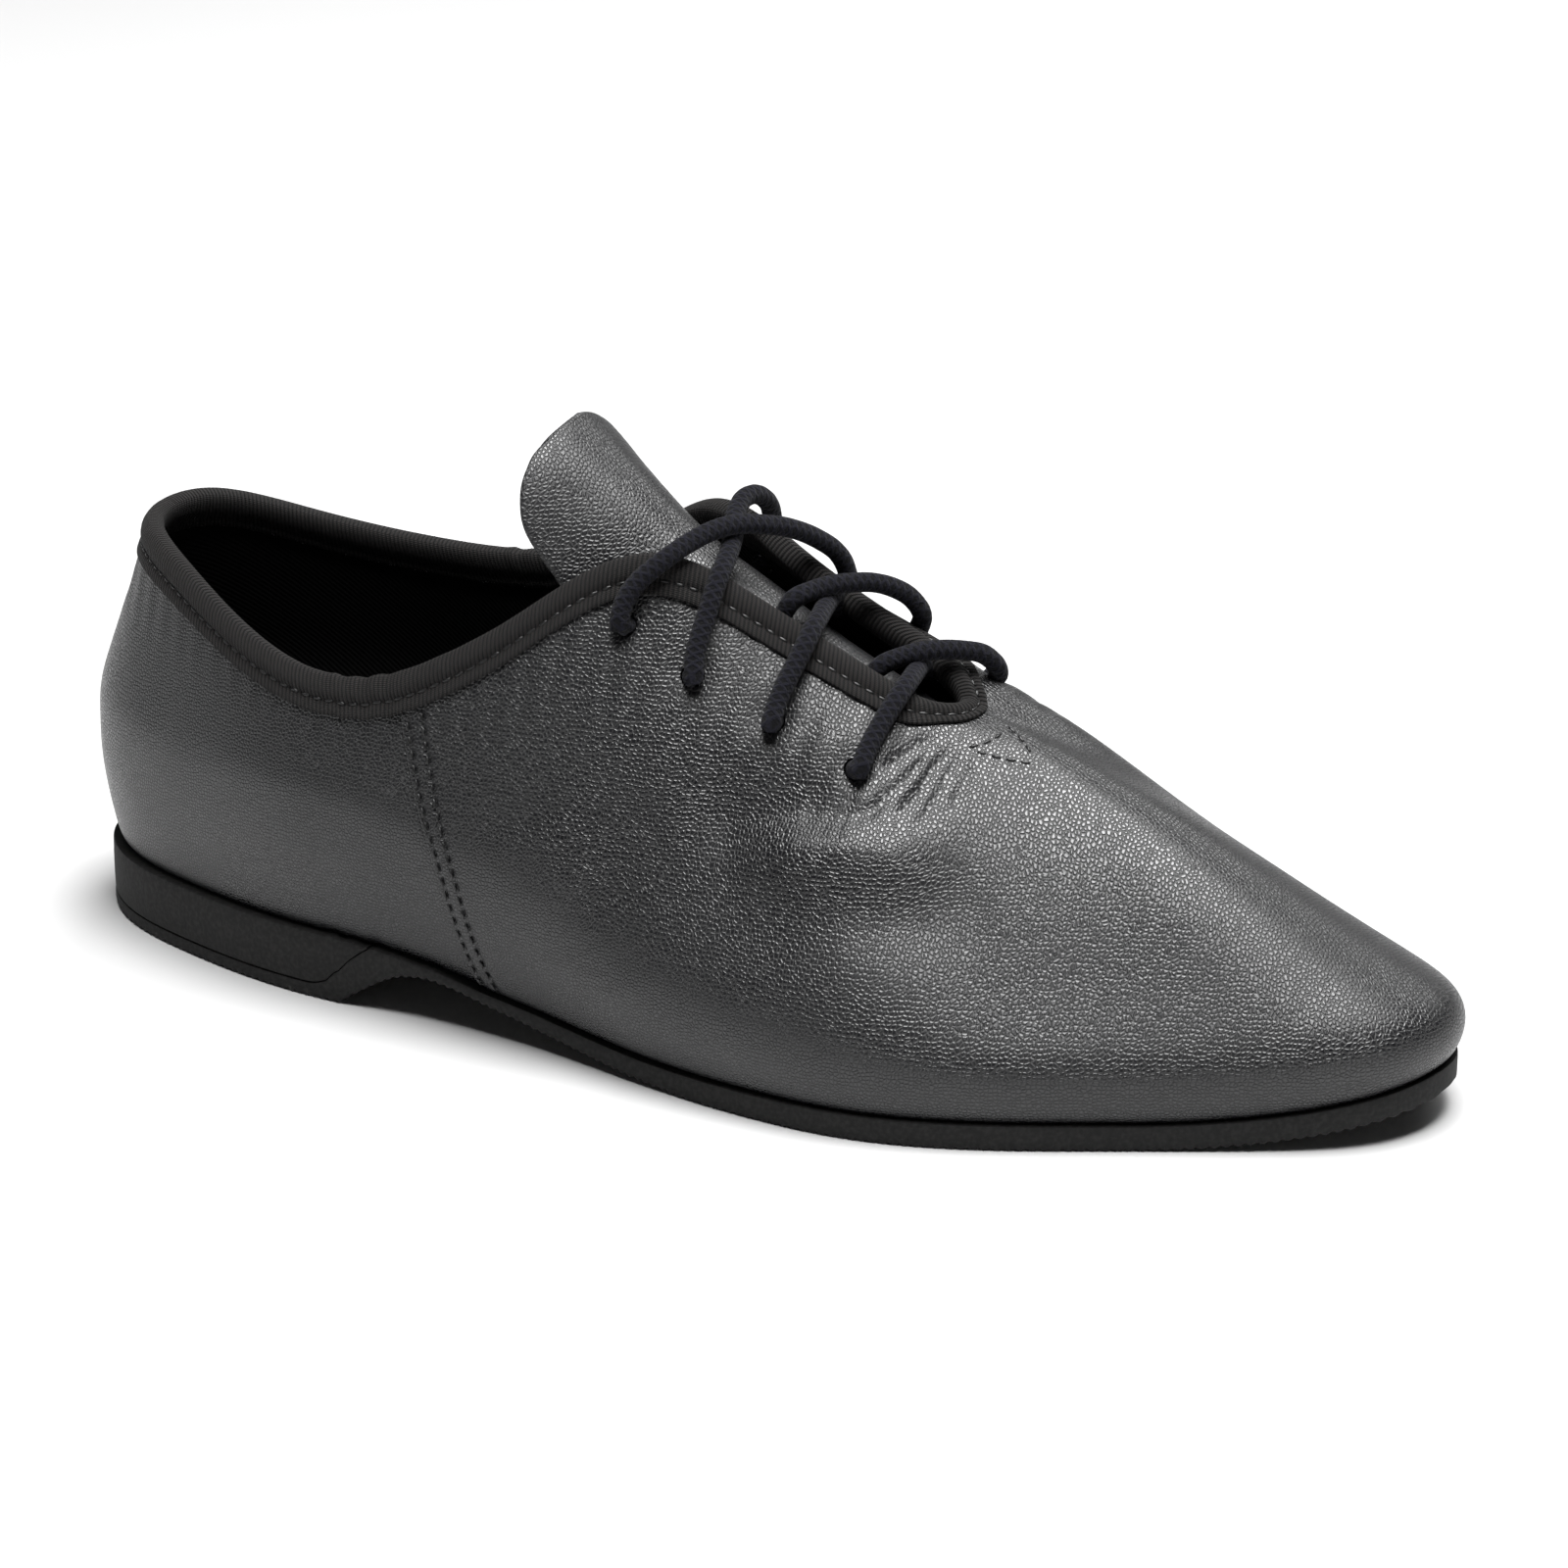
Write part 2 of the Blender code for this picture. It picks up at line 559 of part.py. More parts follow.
def cord(name, points, material):
    """Round cord through the points."""
    points = np.asarray(points)
    length = np.concatenate(([0.0], np.cumsum(np.linalg.norm(np.diff(points, axis=0), axis=1))))
    share = np.linspace(0.0, 1.0, 18)
    knots = length / length[-1]
    path = np.stack([calm_curve(knots, points[:, k], share) for k in range(3)], axis=-1)
    ahead = np.gradient(path, axis=0)
    ahead = ahead / np.linalg.norm(ahead, axis=1, keepdims=True)
    side = np.cross(ahead[0], UP)
    side = side / np.linalg.norm(side)
    turn = np.linspace(0.0, 2.0 * math.pi, CORD_SIDES, endpoint=False)
    sections = []
    for middle, way in zip(path, ahead):
        side = side - way * np.dot(side, way)
        side = side / np.linalg.norm(side)
        other = np.cross(way, side)
        ring = np.outer(np.cos(turn), side) + np.outer(np.sin(turn), other)
        sections.append(middle + ring * CORD_DIAMETER / 2.0)
    return loft(name, sections, False, material)


def hole_start(hole, rise=0.0):
    """First points of a cord that comes up out of a hole, toward the lace gap."""
    middle, normal = hole_point(hole)
    u, v = hole
    stand = SEAM_STEP + CORD_CLEAR
    lay = stand + TAPE_GAP + TAPE_THICKNESS + CORD_DIAMETER / 2.0
    low = v + (1.0 - v) * 0.12
    high = v + (1.0 - v) * 0.45
    return [middle + normal * stand, skin(u, low) + skin_normal(u, low) * lay,
            skin(u, high) + skin_normal(u, high) * lay * 1.12 + UP * rise]


def over_rim(u, rise=0.0):
    """Point of a cord where it passes over the taped edge."""
    lay = SEAM_STEP + TAPE_GAP + TAPE_THICKNESS + CORD_DIAMETER / 2.0 + CORD_CLEAR * 1.5
    return rim_line(u) + (skin_normal(u, 1.0) * 0.45 + UP * 0.9) * lay + UP * rise


def over_tongue(x, y):
    """Point of a cord in the lace gap, just clear of the tongue."""
    half = tongue_frame(x)[2]
    return tongue_point(x, (y - TONGUE_MIDDLE) / half, CORD_DIAMETER / 2.0 + CORD_CLEAR * 1.6)


def lower_crossing(row, cotton):
    """Crossing whose two cords end in the lace gap, where they dive under the edges."""
    near, far = NEAR_HOLE_SHARES[row], FAR_HOLE_SHARES[row]
    near_u = near[0] - 0.010
    far_u = far[0] + 0.006
    x = 0.5 * (rim_line(near_u)[0] + rim_line(far_u)[0]) - 0.003
    middle = over_tongue(x, TONGUE_MIDDLE)
    up = [*hole_start(near), over_rim(near_u), middle, over_tongue(x - 0.0025, TONGUE_MIDDLE + 0.003)]
    down = [*hole_start(far), over_rim(far_u), middle, over_tongue(x - 0.0025, TONGUE_MIDDLE - 0.003)]
    first = cord(f"lace_crossing_{row + 1}", up, cotton)
    second = cord(f"lace_crossing_{row + 1}_other", down, cotton)
    combine(first, second, "UNION")


def top_crossing(cotton):
    """Uppermost crossing: both cords run over the edges and into the top holes."""
    near, near_top = NEAR_HOLE_SHARES[2:]
    far, far_top = FAR_HOLE_SHARES[2:]
    meet = 0.5 * (over_rim(near[0] - 0.016) + over_rim(far[0] + 0.020))
    up = [*hole_start(near), over_rim(near[0] - 0.010), meet, over_rim(far_top[0] - 0.006, 0.0025),
          *hole_start(far_top, 0.0014)[::-1]]
    down = [*hole_start(far), over_rim(far[0] + 0.010), meet, over_rim(near_top[0] + 0.008, 0.0015),
            *hole_start(near_top, 0.001)[::-1]]
    first = cord("lace_crossing_3", up, cotton)
    second = cord("lace_crossing_3_other", down, cotton)
    combine(first, second, "UNION")


def build_laces(cotton):
    """Three crossings over the lace gap, each of two joined cords."""
    lower_crossing(0, cotton)
    lower_crossing(1, cotton)
    top_crossing(cotton)


def centre_on_floor():
    """Put the middle of the whole shoe over the origin, with its sole on the floor."""
    shown = [thing for thing in bpy.data.objects if not thing.hide_render]
    corners = np.array([vertex.co for thing in shown for vertex in thing.data.vertices])
    middle = 0.5 * (corners.min(axis=0) + corners.max(axis=0))
    shift = Vector((-middle[0], -middle[1], -corners[:, 2].min()))
    for thing in bpy.data.objects:
        for vertex in thing.data.vertices:
            vertex.co += shift


def main():
    """Build the whole shoe."""
    clear_scene()
    leather = new_material("black_leather", "1C1C1E", 0.42)
    ribbed = new_material("ribbed_tape", "201F20", 0.85)
    rubber = new_material("black_rubber", "1E1E1E", 0.75)
    cloth = new_material("black_lining", "161616", 0.95)
    cotton = new_material("black_cotton_cord", "17171C", 0.9)
    build_sole(rubber)
    build_insole(cloth)
    build_upper(leather)
    build_tape(ribbed)
    build_tongue(leather)
    build_laces(cotton)
    centre_on_floor()


main()
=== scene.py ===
"""Black leather lace-up dance shoe for the right foot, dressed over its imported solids.

+X points to the toe, +Y to the inner side of the foot, +Z up, and the floor is z = 0.
Every length is in metres. A place on the upper is given as u, the share of the way
round the foot from the back of the heel (outer side first), and v, from the sole (0)
to the rim (1).
"""

import logging
import math
from dataclasses import dataclass
from enum import Enum

import bmesh
import bpy
import numpy as np
from mathutils import Matrix, Vector


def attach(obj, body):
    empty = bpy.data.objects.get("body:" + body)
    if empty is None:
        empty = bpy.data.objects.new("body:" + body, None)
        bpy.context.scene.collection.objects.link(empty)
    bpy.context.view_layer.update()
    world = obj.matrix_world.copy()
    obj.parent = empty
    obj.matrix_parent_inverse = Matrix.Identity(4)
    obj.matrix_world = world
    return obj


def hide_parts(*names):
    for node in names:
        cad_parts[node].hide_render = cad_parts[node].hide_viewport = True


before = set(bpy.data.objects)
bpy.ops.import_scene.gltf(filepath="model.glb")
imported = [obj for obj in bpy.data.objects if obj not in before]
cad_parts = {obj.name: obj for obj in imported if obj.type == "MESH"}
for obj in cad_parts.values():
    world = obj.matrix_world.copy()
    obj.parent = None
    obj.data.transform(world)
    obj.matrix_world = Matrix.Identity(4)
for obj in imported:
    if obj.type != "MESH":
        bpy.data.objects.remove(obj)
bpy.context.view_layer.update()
LOG = logging.getLogger("dance_shoe")
UP = np.array((0.0, 0.0, 1.0))
Array = np.ndarray
Tree = bpy.types.NodeTree
Node = bpy.types.Node
Source = bpy.types.NodeSocket | bpy.types.Node
Finish = bpy.types.Material
Piece = bpy.types.Object
SOFT = {"interpolation_type": "SMOOTHSTEP"}


class Side(Enum):
    """Which side seam or lace edge is meant."""

    OUTER = "outer"
    INNER = "inner"


class Slot(Enum):
    """Material slots."""

    LEATHER = "leather"
    TAPE = "tape"
    RUBBER = "rubber"
    LINING = "lining"
    CORD = "cord"


def closed_bend(knots: Array, values: Array) -> Array:
    """Second slopes of the closed cubic curve through values at knots.

    Args:
        knots: Places of the values, with the full way round as the last one.
        values: One value for each knot but the last.

    Returns:
        One second slope for each value.
    """
    step = np.diff(knots)
    count = len(step)
    rise = (np.roll(values, -1) - values) / step
    matrix = np.zeros((count, count))
    for i in range(count):
        matrix[i, i - 1] += step[i - 1]
        matrix[i, i] += 2.0 * (step[i - 1] + step[i])
        matrix[i, (i + 1) % count] += step[i]
    return np.linalg.solve(matrix, 6.0 * (rise - np.roll(rise, 1)))


def closed_curve(knots: Array, values: Array, bend: Array, at: Array) -> Array:
    """Closed cubic curve through values at knots.

    Args:
        knots: Places of the values, with the full way round as the last one.
        values: One value for each knot but the last.
        bend: What closed_bend gives for them.
        at: Places to read.

    Returns:
        The curve's value at each place.
    """
    step = np.diff(knots)
    at = np.mod(at, knots[-1])
    i = np.clip(np.searchsorted(knots, at, side="right") - 1, 0, len(step) - 1)
    j = (i + 1) % len(step)
    h = step[i]
    a = knots[i + 1] - at
    b = at - knots[i]
    cubic = (bend[i] * a**3 + bend[j] * b**3) / (6.0 * h)
    return cubic + (values[i] / h - bend[i] * h / 6.0) * a + (values[j] / h - bend[j] * h / 6.0) * b


def calm_curve(xs: Array, ys: Array, at: Array) -> Array:
    """Smooth curve through points that never swings past them.

    Args:
        xs: Rising places of the points.
        ys: Values at the points.
        at: Places to read.

    Returns:
        The curve's value at each place.
    """
    xs, ys = np.asarray(xs, float), np.asarray(ys, float)
    step = np.diff(xs)
    rise = np.diff(ys) / step
    slope = np.zeros(len(xs))
    same = rise[1:] * rise[:-1] > 0.0
    slope[1:-1] = np.where(same, 2.0 * rise[1:] * rise[:-1] / np.where(same, rise[1:] + rise[:-1], 1.0), 0.0)
    at = np.clip(at, xs[0], xs[-1])
    i = np.clip(np.searchsorted(xs, at, side="right") - 1, 0, len(step) - 1)
    t = (at - xs[i]) / step[i]
    start = (1.0 + 2.0 * t) * (1.0 - t) ** 2 * ys[i] + t * (1.0 - t) ** 2 * step[i] * slope[i]
    return start + t * t * (3.0 - 2.0 * t) * ys[i + 1] + t * t * (t - 1.0) * step[i] * slope[i + 1]


def soft_step(value: Array, low: float, high: float) -> Array:
    """Soft step from 0 at low to 1 at high."""
    t = np.clip((value - low) / (high - low), 0.0, 1.0)
    return t * t * (3.0 - 2.0 * t)


def unit(vectors: Array) -> Array:
    """The vectors, each made one long."""
    return vectors / np.maximum(np.linalg.norm(vectors, axis=-1, keepdims=True), 1e-12)


def way_along(points: Array) -> Array:
    """Length of a line of points up to each of them."""
    return np.concatenate(([0.0], np.cumsum(np.linalg.norm(np.diff(points, axis=0), axis=1))))


def even_path(points: Array, step: float) -> Array:
    """Smooth line through points, read at even steps along it.

    Args:
        points: Points that the line passes.
        step: Distance from one read point to the next.

    Returns:
        The points of the line.
    """
    points = np.asarray(points, float)
    ends = (2.0 * points[0] - points[1], 2.0 * points[-1] - points[-2])
    ring = np.concatenate((ends[:1], points, ends[1:]))
    fine = []
    for i in range(1, len(ring) - 2):
        p0, p1, p2, p3 = ring[i - 1:i + 3]
        d1, d2, d3 = (max(math.sqrt(float(np.linalg.norm(b - a))), 1e-6)
                      for a, b in ((p0, p1), (p1, p2), (p2, p3)))
        m1 = (p1 - p0) / d1 - (p2 - p0) / (d1 + d2) + (p2 - p1) / d2
        m2 = (p2 - p1) / d2 - (p3 - p1) / (d2 + d3) + (p3 - p2) / d3
        t = np.linspace(0.0, 1.0, 24, endpoint=False)[:, None]
        fine.append(
            (2 * t**3 - 3 * t**2 + 1) * p1 + (t**3 - 2 * t**2 + t) * m1 * d2
            + (3 * t**2 - 2 * t**3) * p2 + (t**3 - t**2) * m2 * d2
        )
    line = np.concatenate((*fine, points[-1:]))
    way = way_along(line)
    read = np.linspace(0.0, way[-1], max(int(way[-1] / step), 2) + 1)
    return np.stack([np.interp(read, way, line[:, k]) for k in range(3)], axis=-1)


RIB_COLUMNS = ("foot_x", "foot_y", "out", "up", "crown", "brow", "reach", "top_x", "top_y", "top_rise")
RIBS = (
    (0.0032, 0.0000, 0.048, 0.347, 0.000, 0.000, 0.60, 0.0392, 0.0161, 0.7937),
    (0.0323, -0.4516, 0.048, 0.347, 0.000, 0.000, 0.60, 0.0533, -0.3065, 0.7884),
    (0.1131, -0.7968, 0.051, 0.333, 0.000, 0.000, 0.60, 0.1103, -0.6774, 0.7462),
    (0.2182, -1.0065, 0.060, 0.333, 0.007, 0.007, 0.60, 0.2020, -0.9194, 0.6247),
    (0.3232, -1.0142, 0.073, 0.320, 0.013, 0.013, 0.60, 0.2990, -0.9340, 0.6320),
    (0.4121, -0.9417, 0.080, 0.280, 0.027, 0.027, 0.60, 0.3838, -0.6937, 0.8317),
    (0.4929, -0.9484, 0.067, 0.227, 0.040, 0.040, 0.60, 0.4525, -0.3573, 0.9967),
    (0.5778, -0.9839, 0.047, 0.173, 0.053, 0.053, 0.60, 0.5253, -0.1646, 0.9271),
    (0.6586, -1.0000, 0.035, 0.147, 0.052, 0.065, 0.61, 0.5919, -0.1310, 0.8226),
    (0.7434, -0.8690, 0.032, 0.133, -0.007, 0.055, 0.67, 0.6323, -0.0881, 0.7533),
    (0.8323, -0.6071, 0.032, 0.133, -0.013, 0.054, 0.68, 0.6513, -0.0357, 0.7293),
    (0.9212, -0.3333, 0.035, 0.133, -0.013, 0.054, 0.68, 0.6578, 0.0119, 0.7227),
    (0.9778, -0.0714, 0.040, 0.133, -0.013, 0.054, 0.68, 0.6594, 0.0405, 0.7200),
    (0.9939, 0.2143, 0.040, 0.133, -0.013, 0.054, 0.68, 0.6598, 0.0524, 0.7200),
    (0.9818, 0.4405, 0.037, 0.133, -0.013, 0.054, 0.68, 0.6594, 0.0667, 0.7200),
    (0.9333, 0.6905, 0.032, 0.133, -0.006, 0.086, 0.68, 0.6578, 0.0952, 0.7227),
    (0.8525, 0.8643, 0.032, 0.133, 0.009, 0.159, 0.68, 0.6513, 0.1381, 0.7414),
    (0.7677, 0.9333, 0.032, 0.147, 0.014, 0.186, 0.68, 0.6323, 0.1905, 0.7720),
    (0.6869, 0.9214, 0.040, 0.173, 0.016, 0.185, 0.67, 0.5919, 0.2191, 0.8360),
    (0.5980, 0.8095, 0.060, 0.213, 0.069, 0.131, 0.63, 0.5253, 0.2604, 0.9498),
    (0.5091, 0.6972, 0.087, 0.253, 0.073, 0.073, 0.60, 0.4485, 0.4654, 1.0031),
    (0.4283, 0.6548, 0.100, 0.293, 0.040, 0.040, 0.60, 0.3798, 0.7264, 0.8619),
    (0.3394, 0.7625, 0.093, 0.320, 0.013, 0.013, 0.60, 0.3030, 0.9154, 0.7107),
    (0.2263, 0.9355, 0.067, 0.333, 0.007, 0.007, 0.60, 0.2061, 0.9194, 0.6701),
    (0.1131, 0.7968, 0.051, 0.333, 0.000, 0.000, 0.60, 0.1103, 0.7097, 0.7196),
    (0.0323, 0.4516, 0.048, 0.347, 0.000, 0.000, 0.60, 0.0533, 0.3387, 0.7884),
)
SOLE_COLUMNS = ("x", "under", "sheet", "block")
SOLE = (
    (0.0000, 0.000, 0.571, 0.802),
    (0.1616, 0.000, 0.571, 0.793),
    (0.2343, 0.000, 0.595, 0.777),
    (0.2485, 0.000, 0.810, 0.698),
    (0.2586, 0.000, 1.333, 0.512),
    (0.2707, 0.157, 1.548, 0.273),
    (0.2848, 0.339, 1.643, 0.041),
    (0.2990, 0.504, 1.190, 0.000),
    (0.3152, 0.620, 0.762, 0.000),
    (0.3313, 0.653, 0.548, 0.000),
    (0.3515, 0.603, 0.476, 0.000),
    (0.3758, 0.488, 0.524, 0.000),
    (0.4162, 0.322, 0.667, 0.000),
    (0.4646, 0.165, 0.786, 0.000),
    (0.5172, 0.050, 0.905, 0.000),
    (0.5657, 0.000, 1.000, 0.000),
    (0.8081, 0.000, 1.000, 0.000),
    (1.0343, 0.000, 1.000, 0.000),
)
TONGUE_COLUMNS = ("x", "crest", "half", "arch")
TONGUE = (
    (0.3717, 1.2001, 0.107, 0.34),
    (0.3774, 1.1888, 0.179, 0.38),
    (0.3879, 1.1649, 0.218, 0.48),
    (0.4081, 1.1206, 0.221, 0.64),
    (0.4343, 1.0677, 0.217, 0.78),
    (0.4606, 1.0148, 0.220, 0.92),
    (0.4889, 0.9653, 0.224, 1.02),
    (0.5212, 0.9110, 0.226, 1.06),
    (0.5576, 0.8479, 0.226, 1.06),
    (0.5980, 0.7840, 0.220, 1.00),
    (0.6343, 0.7160, 0.214, 0.90),
    (0.6667, 0.6533, 0.196, 0.84),
    (0.6909, 0.6240, 0.179, 0.82),
    (0.7111, 0.5973, 0.149, 0.72),
)


class Last:
    """Form of the foot that every piece of the shoe is laid over."""

    length = 0.2475
    ball_width = 0.084
    heel_width = 0.062
    instep_rise = 0.075
    heel_height = 0.0121
    sole_thickness = 0.0042
    toe_spring = 0.0058
    wall = 0.0018
    seam_step = 0.0006
    fit_gap = 0.0003
    middle = np.array((-0.12318, 0.00148, 0.0))
    seams = {Side.OUTER: (0.190, 0.1685, 0.7), Side.INNER: (0.810, 0.822, 0.7)}

    def __init__(self) -> None:
        """Read the tables and fit the closed curves to them."""
        self.rib = {name: np.array(row) for name, row in zip(RIB_COLUMNS, zip(*RIBS))}
        self.sole = {name: np.array(row) for name, row in zip(SOLE_COLUMNS, zip(*SOLE))}
        foot_x = self.rib["foot_x"] * self.length
        foot_y = self.rib["foot_y"] * self.half_width(foot_x)
        step = np.hypot(np.roll(foot_x, -1) - foot_x, np.roll(foot_y, -1) - foot_y)
        self.knots = np.concatenate(([0.0], np.cumsum(step)))
        self.bend = {name: closed_bend(self.knots, row) for name, row in self.rib.items()}

    def half_width(self, x: Array) -> Array:
        """Half width that the shares of width are taken of, at x from the heel."""
        ball = soft_step(x / self.length, 0.25, 0.60)
        return 0.5 * (self.heel_width + (self.ball_width - self.heel_width) * ball)

    def sole_line(self, x: Array) -> tuple[Array, Array, Array]:
        """Side profile of the sole.

        Args:
            x: Distance from the back of the heel.

        Returns:
            Heights of the underside, of the sheet's upper face and of the seat.
        """
        share = np.asarray(x) / self.length
        lift = self.toe_spring * np.maximum((share - 0.83) / 0.17, 0.0) ** 2
        under = calm_curve(self.sole["x"], self.sole["under"], share) * self.heel_height + lift
        sheet = under + calm_curve(self.sole["x"], self.sole["sheet"], share) * self.sole_thickness
        return under, sheet, sheet + calm_curve(self.sole["x"], self.sole["block"], share) * self.heel_height

    def rib_value(self, column: str, u: Array) -> Array:
        """Value of a column of RIBS at u."""
        return closed_curve(self.knots, self.rib[column], self.bend[column], np.asarray(u) * self.knots[-1])

    def foot_line(self, u: Array) -> Array:
        """Points of the line where the upper meets the sole.

        Args:
            u: Share of the way round the foot.

        Returns:
            The points.
        """
        x = self.rib_value("foot_x", u) * self.length
        y = self.rib_value("foot_y", u) * self.half_width(x)
        return np.stack((x, y, self.sole_line(x)[2]), axis=-1)

    def outward(self, u: Array) -> Array:
        """Level direction away from the foot, square to the foot line."""
        ahead = self.foot_line(np.asarray(u) + 0.002) - self.foot_line(np.asarray(u) - 0.002)
        return unit(np.stack((ahead[..., 1], -ahead[..., 0], np.zeros_like(ahead[..., 0])), axis=-1))

    def rim_line(self, u: Array) -> Array:
        """Points of the rim, round the collar and down both lace edges.

        Args:
            u: Share of the way round the foot.

        Returns:
            The points.
        """
        x = self.rib_value("top_x", u) * self.length
        y = self.rib_value("top_y", u) * self.half_width(x)
        z = self.sole_line(x)[2] + self.rib_value("top_rise", u) * self.instep_rise
        return np.stack((x, y, z), axis=-1)

    def skin(self, u: Array, v: Array) -> Array:
        """Smooth outer face of the upper, without lap or creases.

        Args:
            u: Share of the way round the foot.
            v: Height from the sole (0) to the rim (1).

        Returns:
            The points.
        """
        u, v = np.broadcast_arrays(np.asarray(u, float), np.asarray(v, float))
        foot = self.foot_line(u)
        side = self.outward(u)
        rim = self.rim_line(u)
        reach = self.rib_value("reach", u)[..., None]
        out, up, crown, brow = (
            (self.rib_value(name, u) * self.instep_rise)[..., None]
            for name in ("out", "up", "crown", "brow"))
        swell = foot + side * out + UP * up
        way = rim - swell
        points = (
            foot, foot + side * out * 0.75 + UP * up * 0.42, swell,
            swell + way * 0.16 + UP * crown, swell + way * reach + UP * brow, rim,
        )
        knots = np.array((0.0, 0.0, 0.0, 0.0, 1.0, 2.0, 3.0, 3.0, 3.0, 3.0)) / 3.0
        t = np.clip(v, 0.0, 1.0 - 1e-9)
        weights = [((t >= knots[i]) & (t < knots[i + 1])).astype(float) for i in range(9)]
        for degree in (1, 2, 3):
            new = []
            for i in range(9 - degree):
                left = knots[i + degree] - knots[i]
                right = knots[i + degree + 1] - knots[i + 1]
                value = np.zeros_like(t)
                if left > 0.0:
                    value = value + (t - knots[i]) / left * weights[i]
                if right > 0.0:
                    value = value + (knots[i + degree + 1] - t) / right * weights[i + 1]
                new.append(value)
            weights = new
        return sum(weight[..., None] * point for weight, point in zip(weights, points)) + self.middle

    def normal(self, u: Array, v: Array) -> Array:
        """Unit normals of the upper's outer face, away from the foot.

        Args:
            u: Share of the way round the foot.
            v: Height from the sole (0) to the rim (1).

        Returns:
            The normals.
        """
        u, v = np.broadcast_arrays(np.asarray(u, float), np.asarray(v, float))
        along = self.skin(u + 0.0015, v) - self.skin(u - 0.0015, v)
        rise = self.skin(u, np.minimum(v + 0.01, 1.0)) - self.skin(u, np.maximum(v - 0.01, 0.0))
        return unit(np.cross(along, rise))

    def on(self, u: float, v: float, lift: float = 0.0) -> Array:
        """Point at (u, v), lifted off the outer face."""
        return self.skin(u, v) + self.normal(u, v) * lift

    def seam_u(self, side: Side, v: Array) -> Array:
        """Where a side seam crosses height v."""
        at_sole, at_rim, turn = self.seams[side]
        return at_sole + (at_rim - at_sole) * np.asarray(v, float) ** turn

    def lap(self, u: Array, v: Array) -> Array:
        """Height of the lapped front over the heel part at (u, v)."""
        ahead = (u > self.seam_u(Side.OUTER, v)) & (u < self.seam_u(Side.INNER, v))
        return np.where(ahead, self.seam_step, 0.0)

    def outline(self, grow: float) -> tuple[Array, Array]:
        """Outer and inner sides of the foot line in plan, grown outward.

        Args:
            grow: Distance to grow by.

        Returns:
            Both sides as rows of x and y, each from heel to toe.
        """
        u = np.linspace(0.0, 1.0, 2401)
        points = (self.foot_line(u) + self.outward(u) * grow)[:, :2]
        points = np.roll(points[:-1], -int(np.argmin(points[:, 0])), axis=0)
        toe = int(np.argmax(points[:, 0]))
        return points[:toe + 1], np.concatenate((points[toe:], points[:1]))[::-1]


LAST = Last()


def linear(code: str) -> tuple[float, float, float, float]:
    """Linear colour of an sRGB hex code."""
    parts = [int(code[i:i + 2], 16) / 255.0 for i in (0, 2, 4)]
    return (*(c / 12.92 if c <= 0.04045 else ((c + 0.055) / 1.055) ** 2.4 for c in parts), 1.0)


def add_node(tree: Tree, kind: str, values: dict | None = None, **settings: object) -> Node:
    """Add a shader node.

    Args:
        tree: Node tree to add to.
        kind: Type name of the node, without its prefix.
        values: Constant, output socket to link, or node whose first output is linked, for
            each input by name or number.
        settings: Attributes of the node.

    Returns:
        The node.
    """
    node = tree.nodes.new("ShaderNode" + kind)
    for name, value in settings.items():
        setattr(node, name, value)
    for name, value in (values or {}).items():
        value = value.outputs[0] if isinstance(value, Node) else value
        if isinstance(value, bpy.types.NodeSocket):
            tree.links.new(value, node.inputs[name])
        else:
            node.inputs[name].default_value = value
    return node


def start_material(name: str, roughness: float, specular: float, sheen: float = 0.0,
                   sheen_roughness: float = 0.5) -> tuple[Finish, Tree, Node]:
    """New material with its shader.

    Args:
        name: Name of the material.
        roughness: Roughness where no pattern changes it.
        specular: Specular level.
        sheen: Weight of the sheen that loose fibre gives.
        sheen_roughness: Roughness of that sheen.

    Returns:
        The material, its node tree and its shader node.
    """
    material = bpy.data.materials.new(name)
    material.use_nodes = True
    shader = material.node_tree.nodes["Principled BSDF"]
    for socket, value in (("Roughness", roughness), ("Specular IOR Level", specular),
                          ("Sheen Weight", sheen), ("Sheen Roughness", sheen_roughness)):
        shader.inputs[socket].default_value = value
    return material, material.node_tree, shader


def show(tree: Tree, shader: Node, factor: Source, colours: tuple[str, str], height: Source,
         strength: float, depth: float) -> None:
    """Give a material its colour and the relief of its surface.

    Args:
        tree: Node tree of the material.
        shader: Its shader node.
        factor: Share of the second colour in the surface.
        colours: Hex codes of its two colours.
        height: Height of the relief, where 1 is its full depth.
        strength: How far the relief turns the light.
        depth: Depth of the relief.
    """
    values = {0: factor, 6: linear(colours[0]), 7: linear(colours[1])}
    colour = add_node(tree, "Mix", values, data_type="RGBA").outputs[2]
    bump = add_node(tree, "Bump", {"Height": height, "Strength": strength, "Distance": depth})
    tree.links.new(colour, shader.inputs["Base Color"])
    tree.links.new(bump.outputs["Normal"], shader.inputs["Normal"])


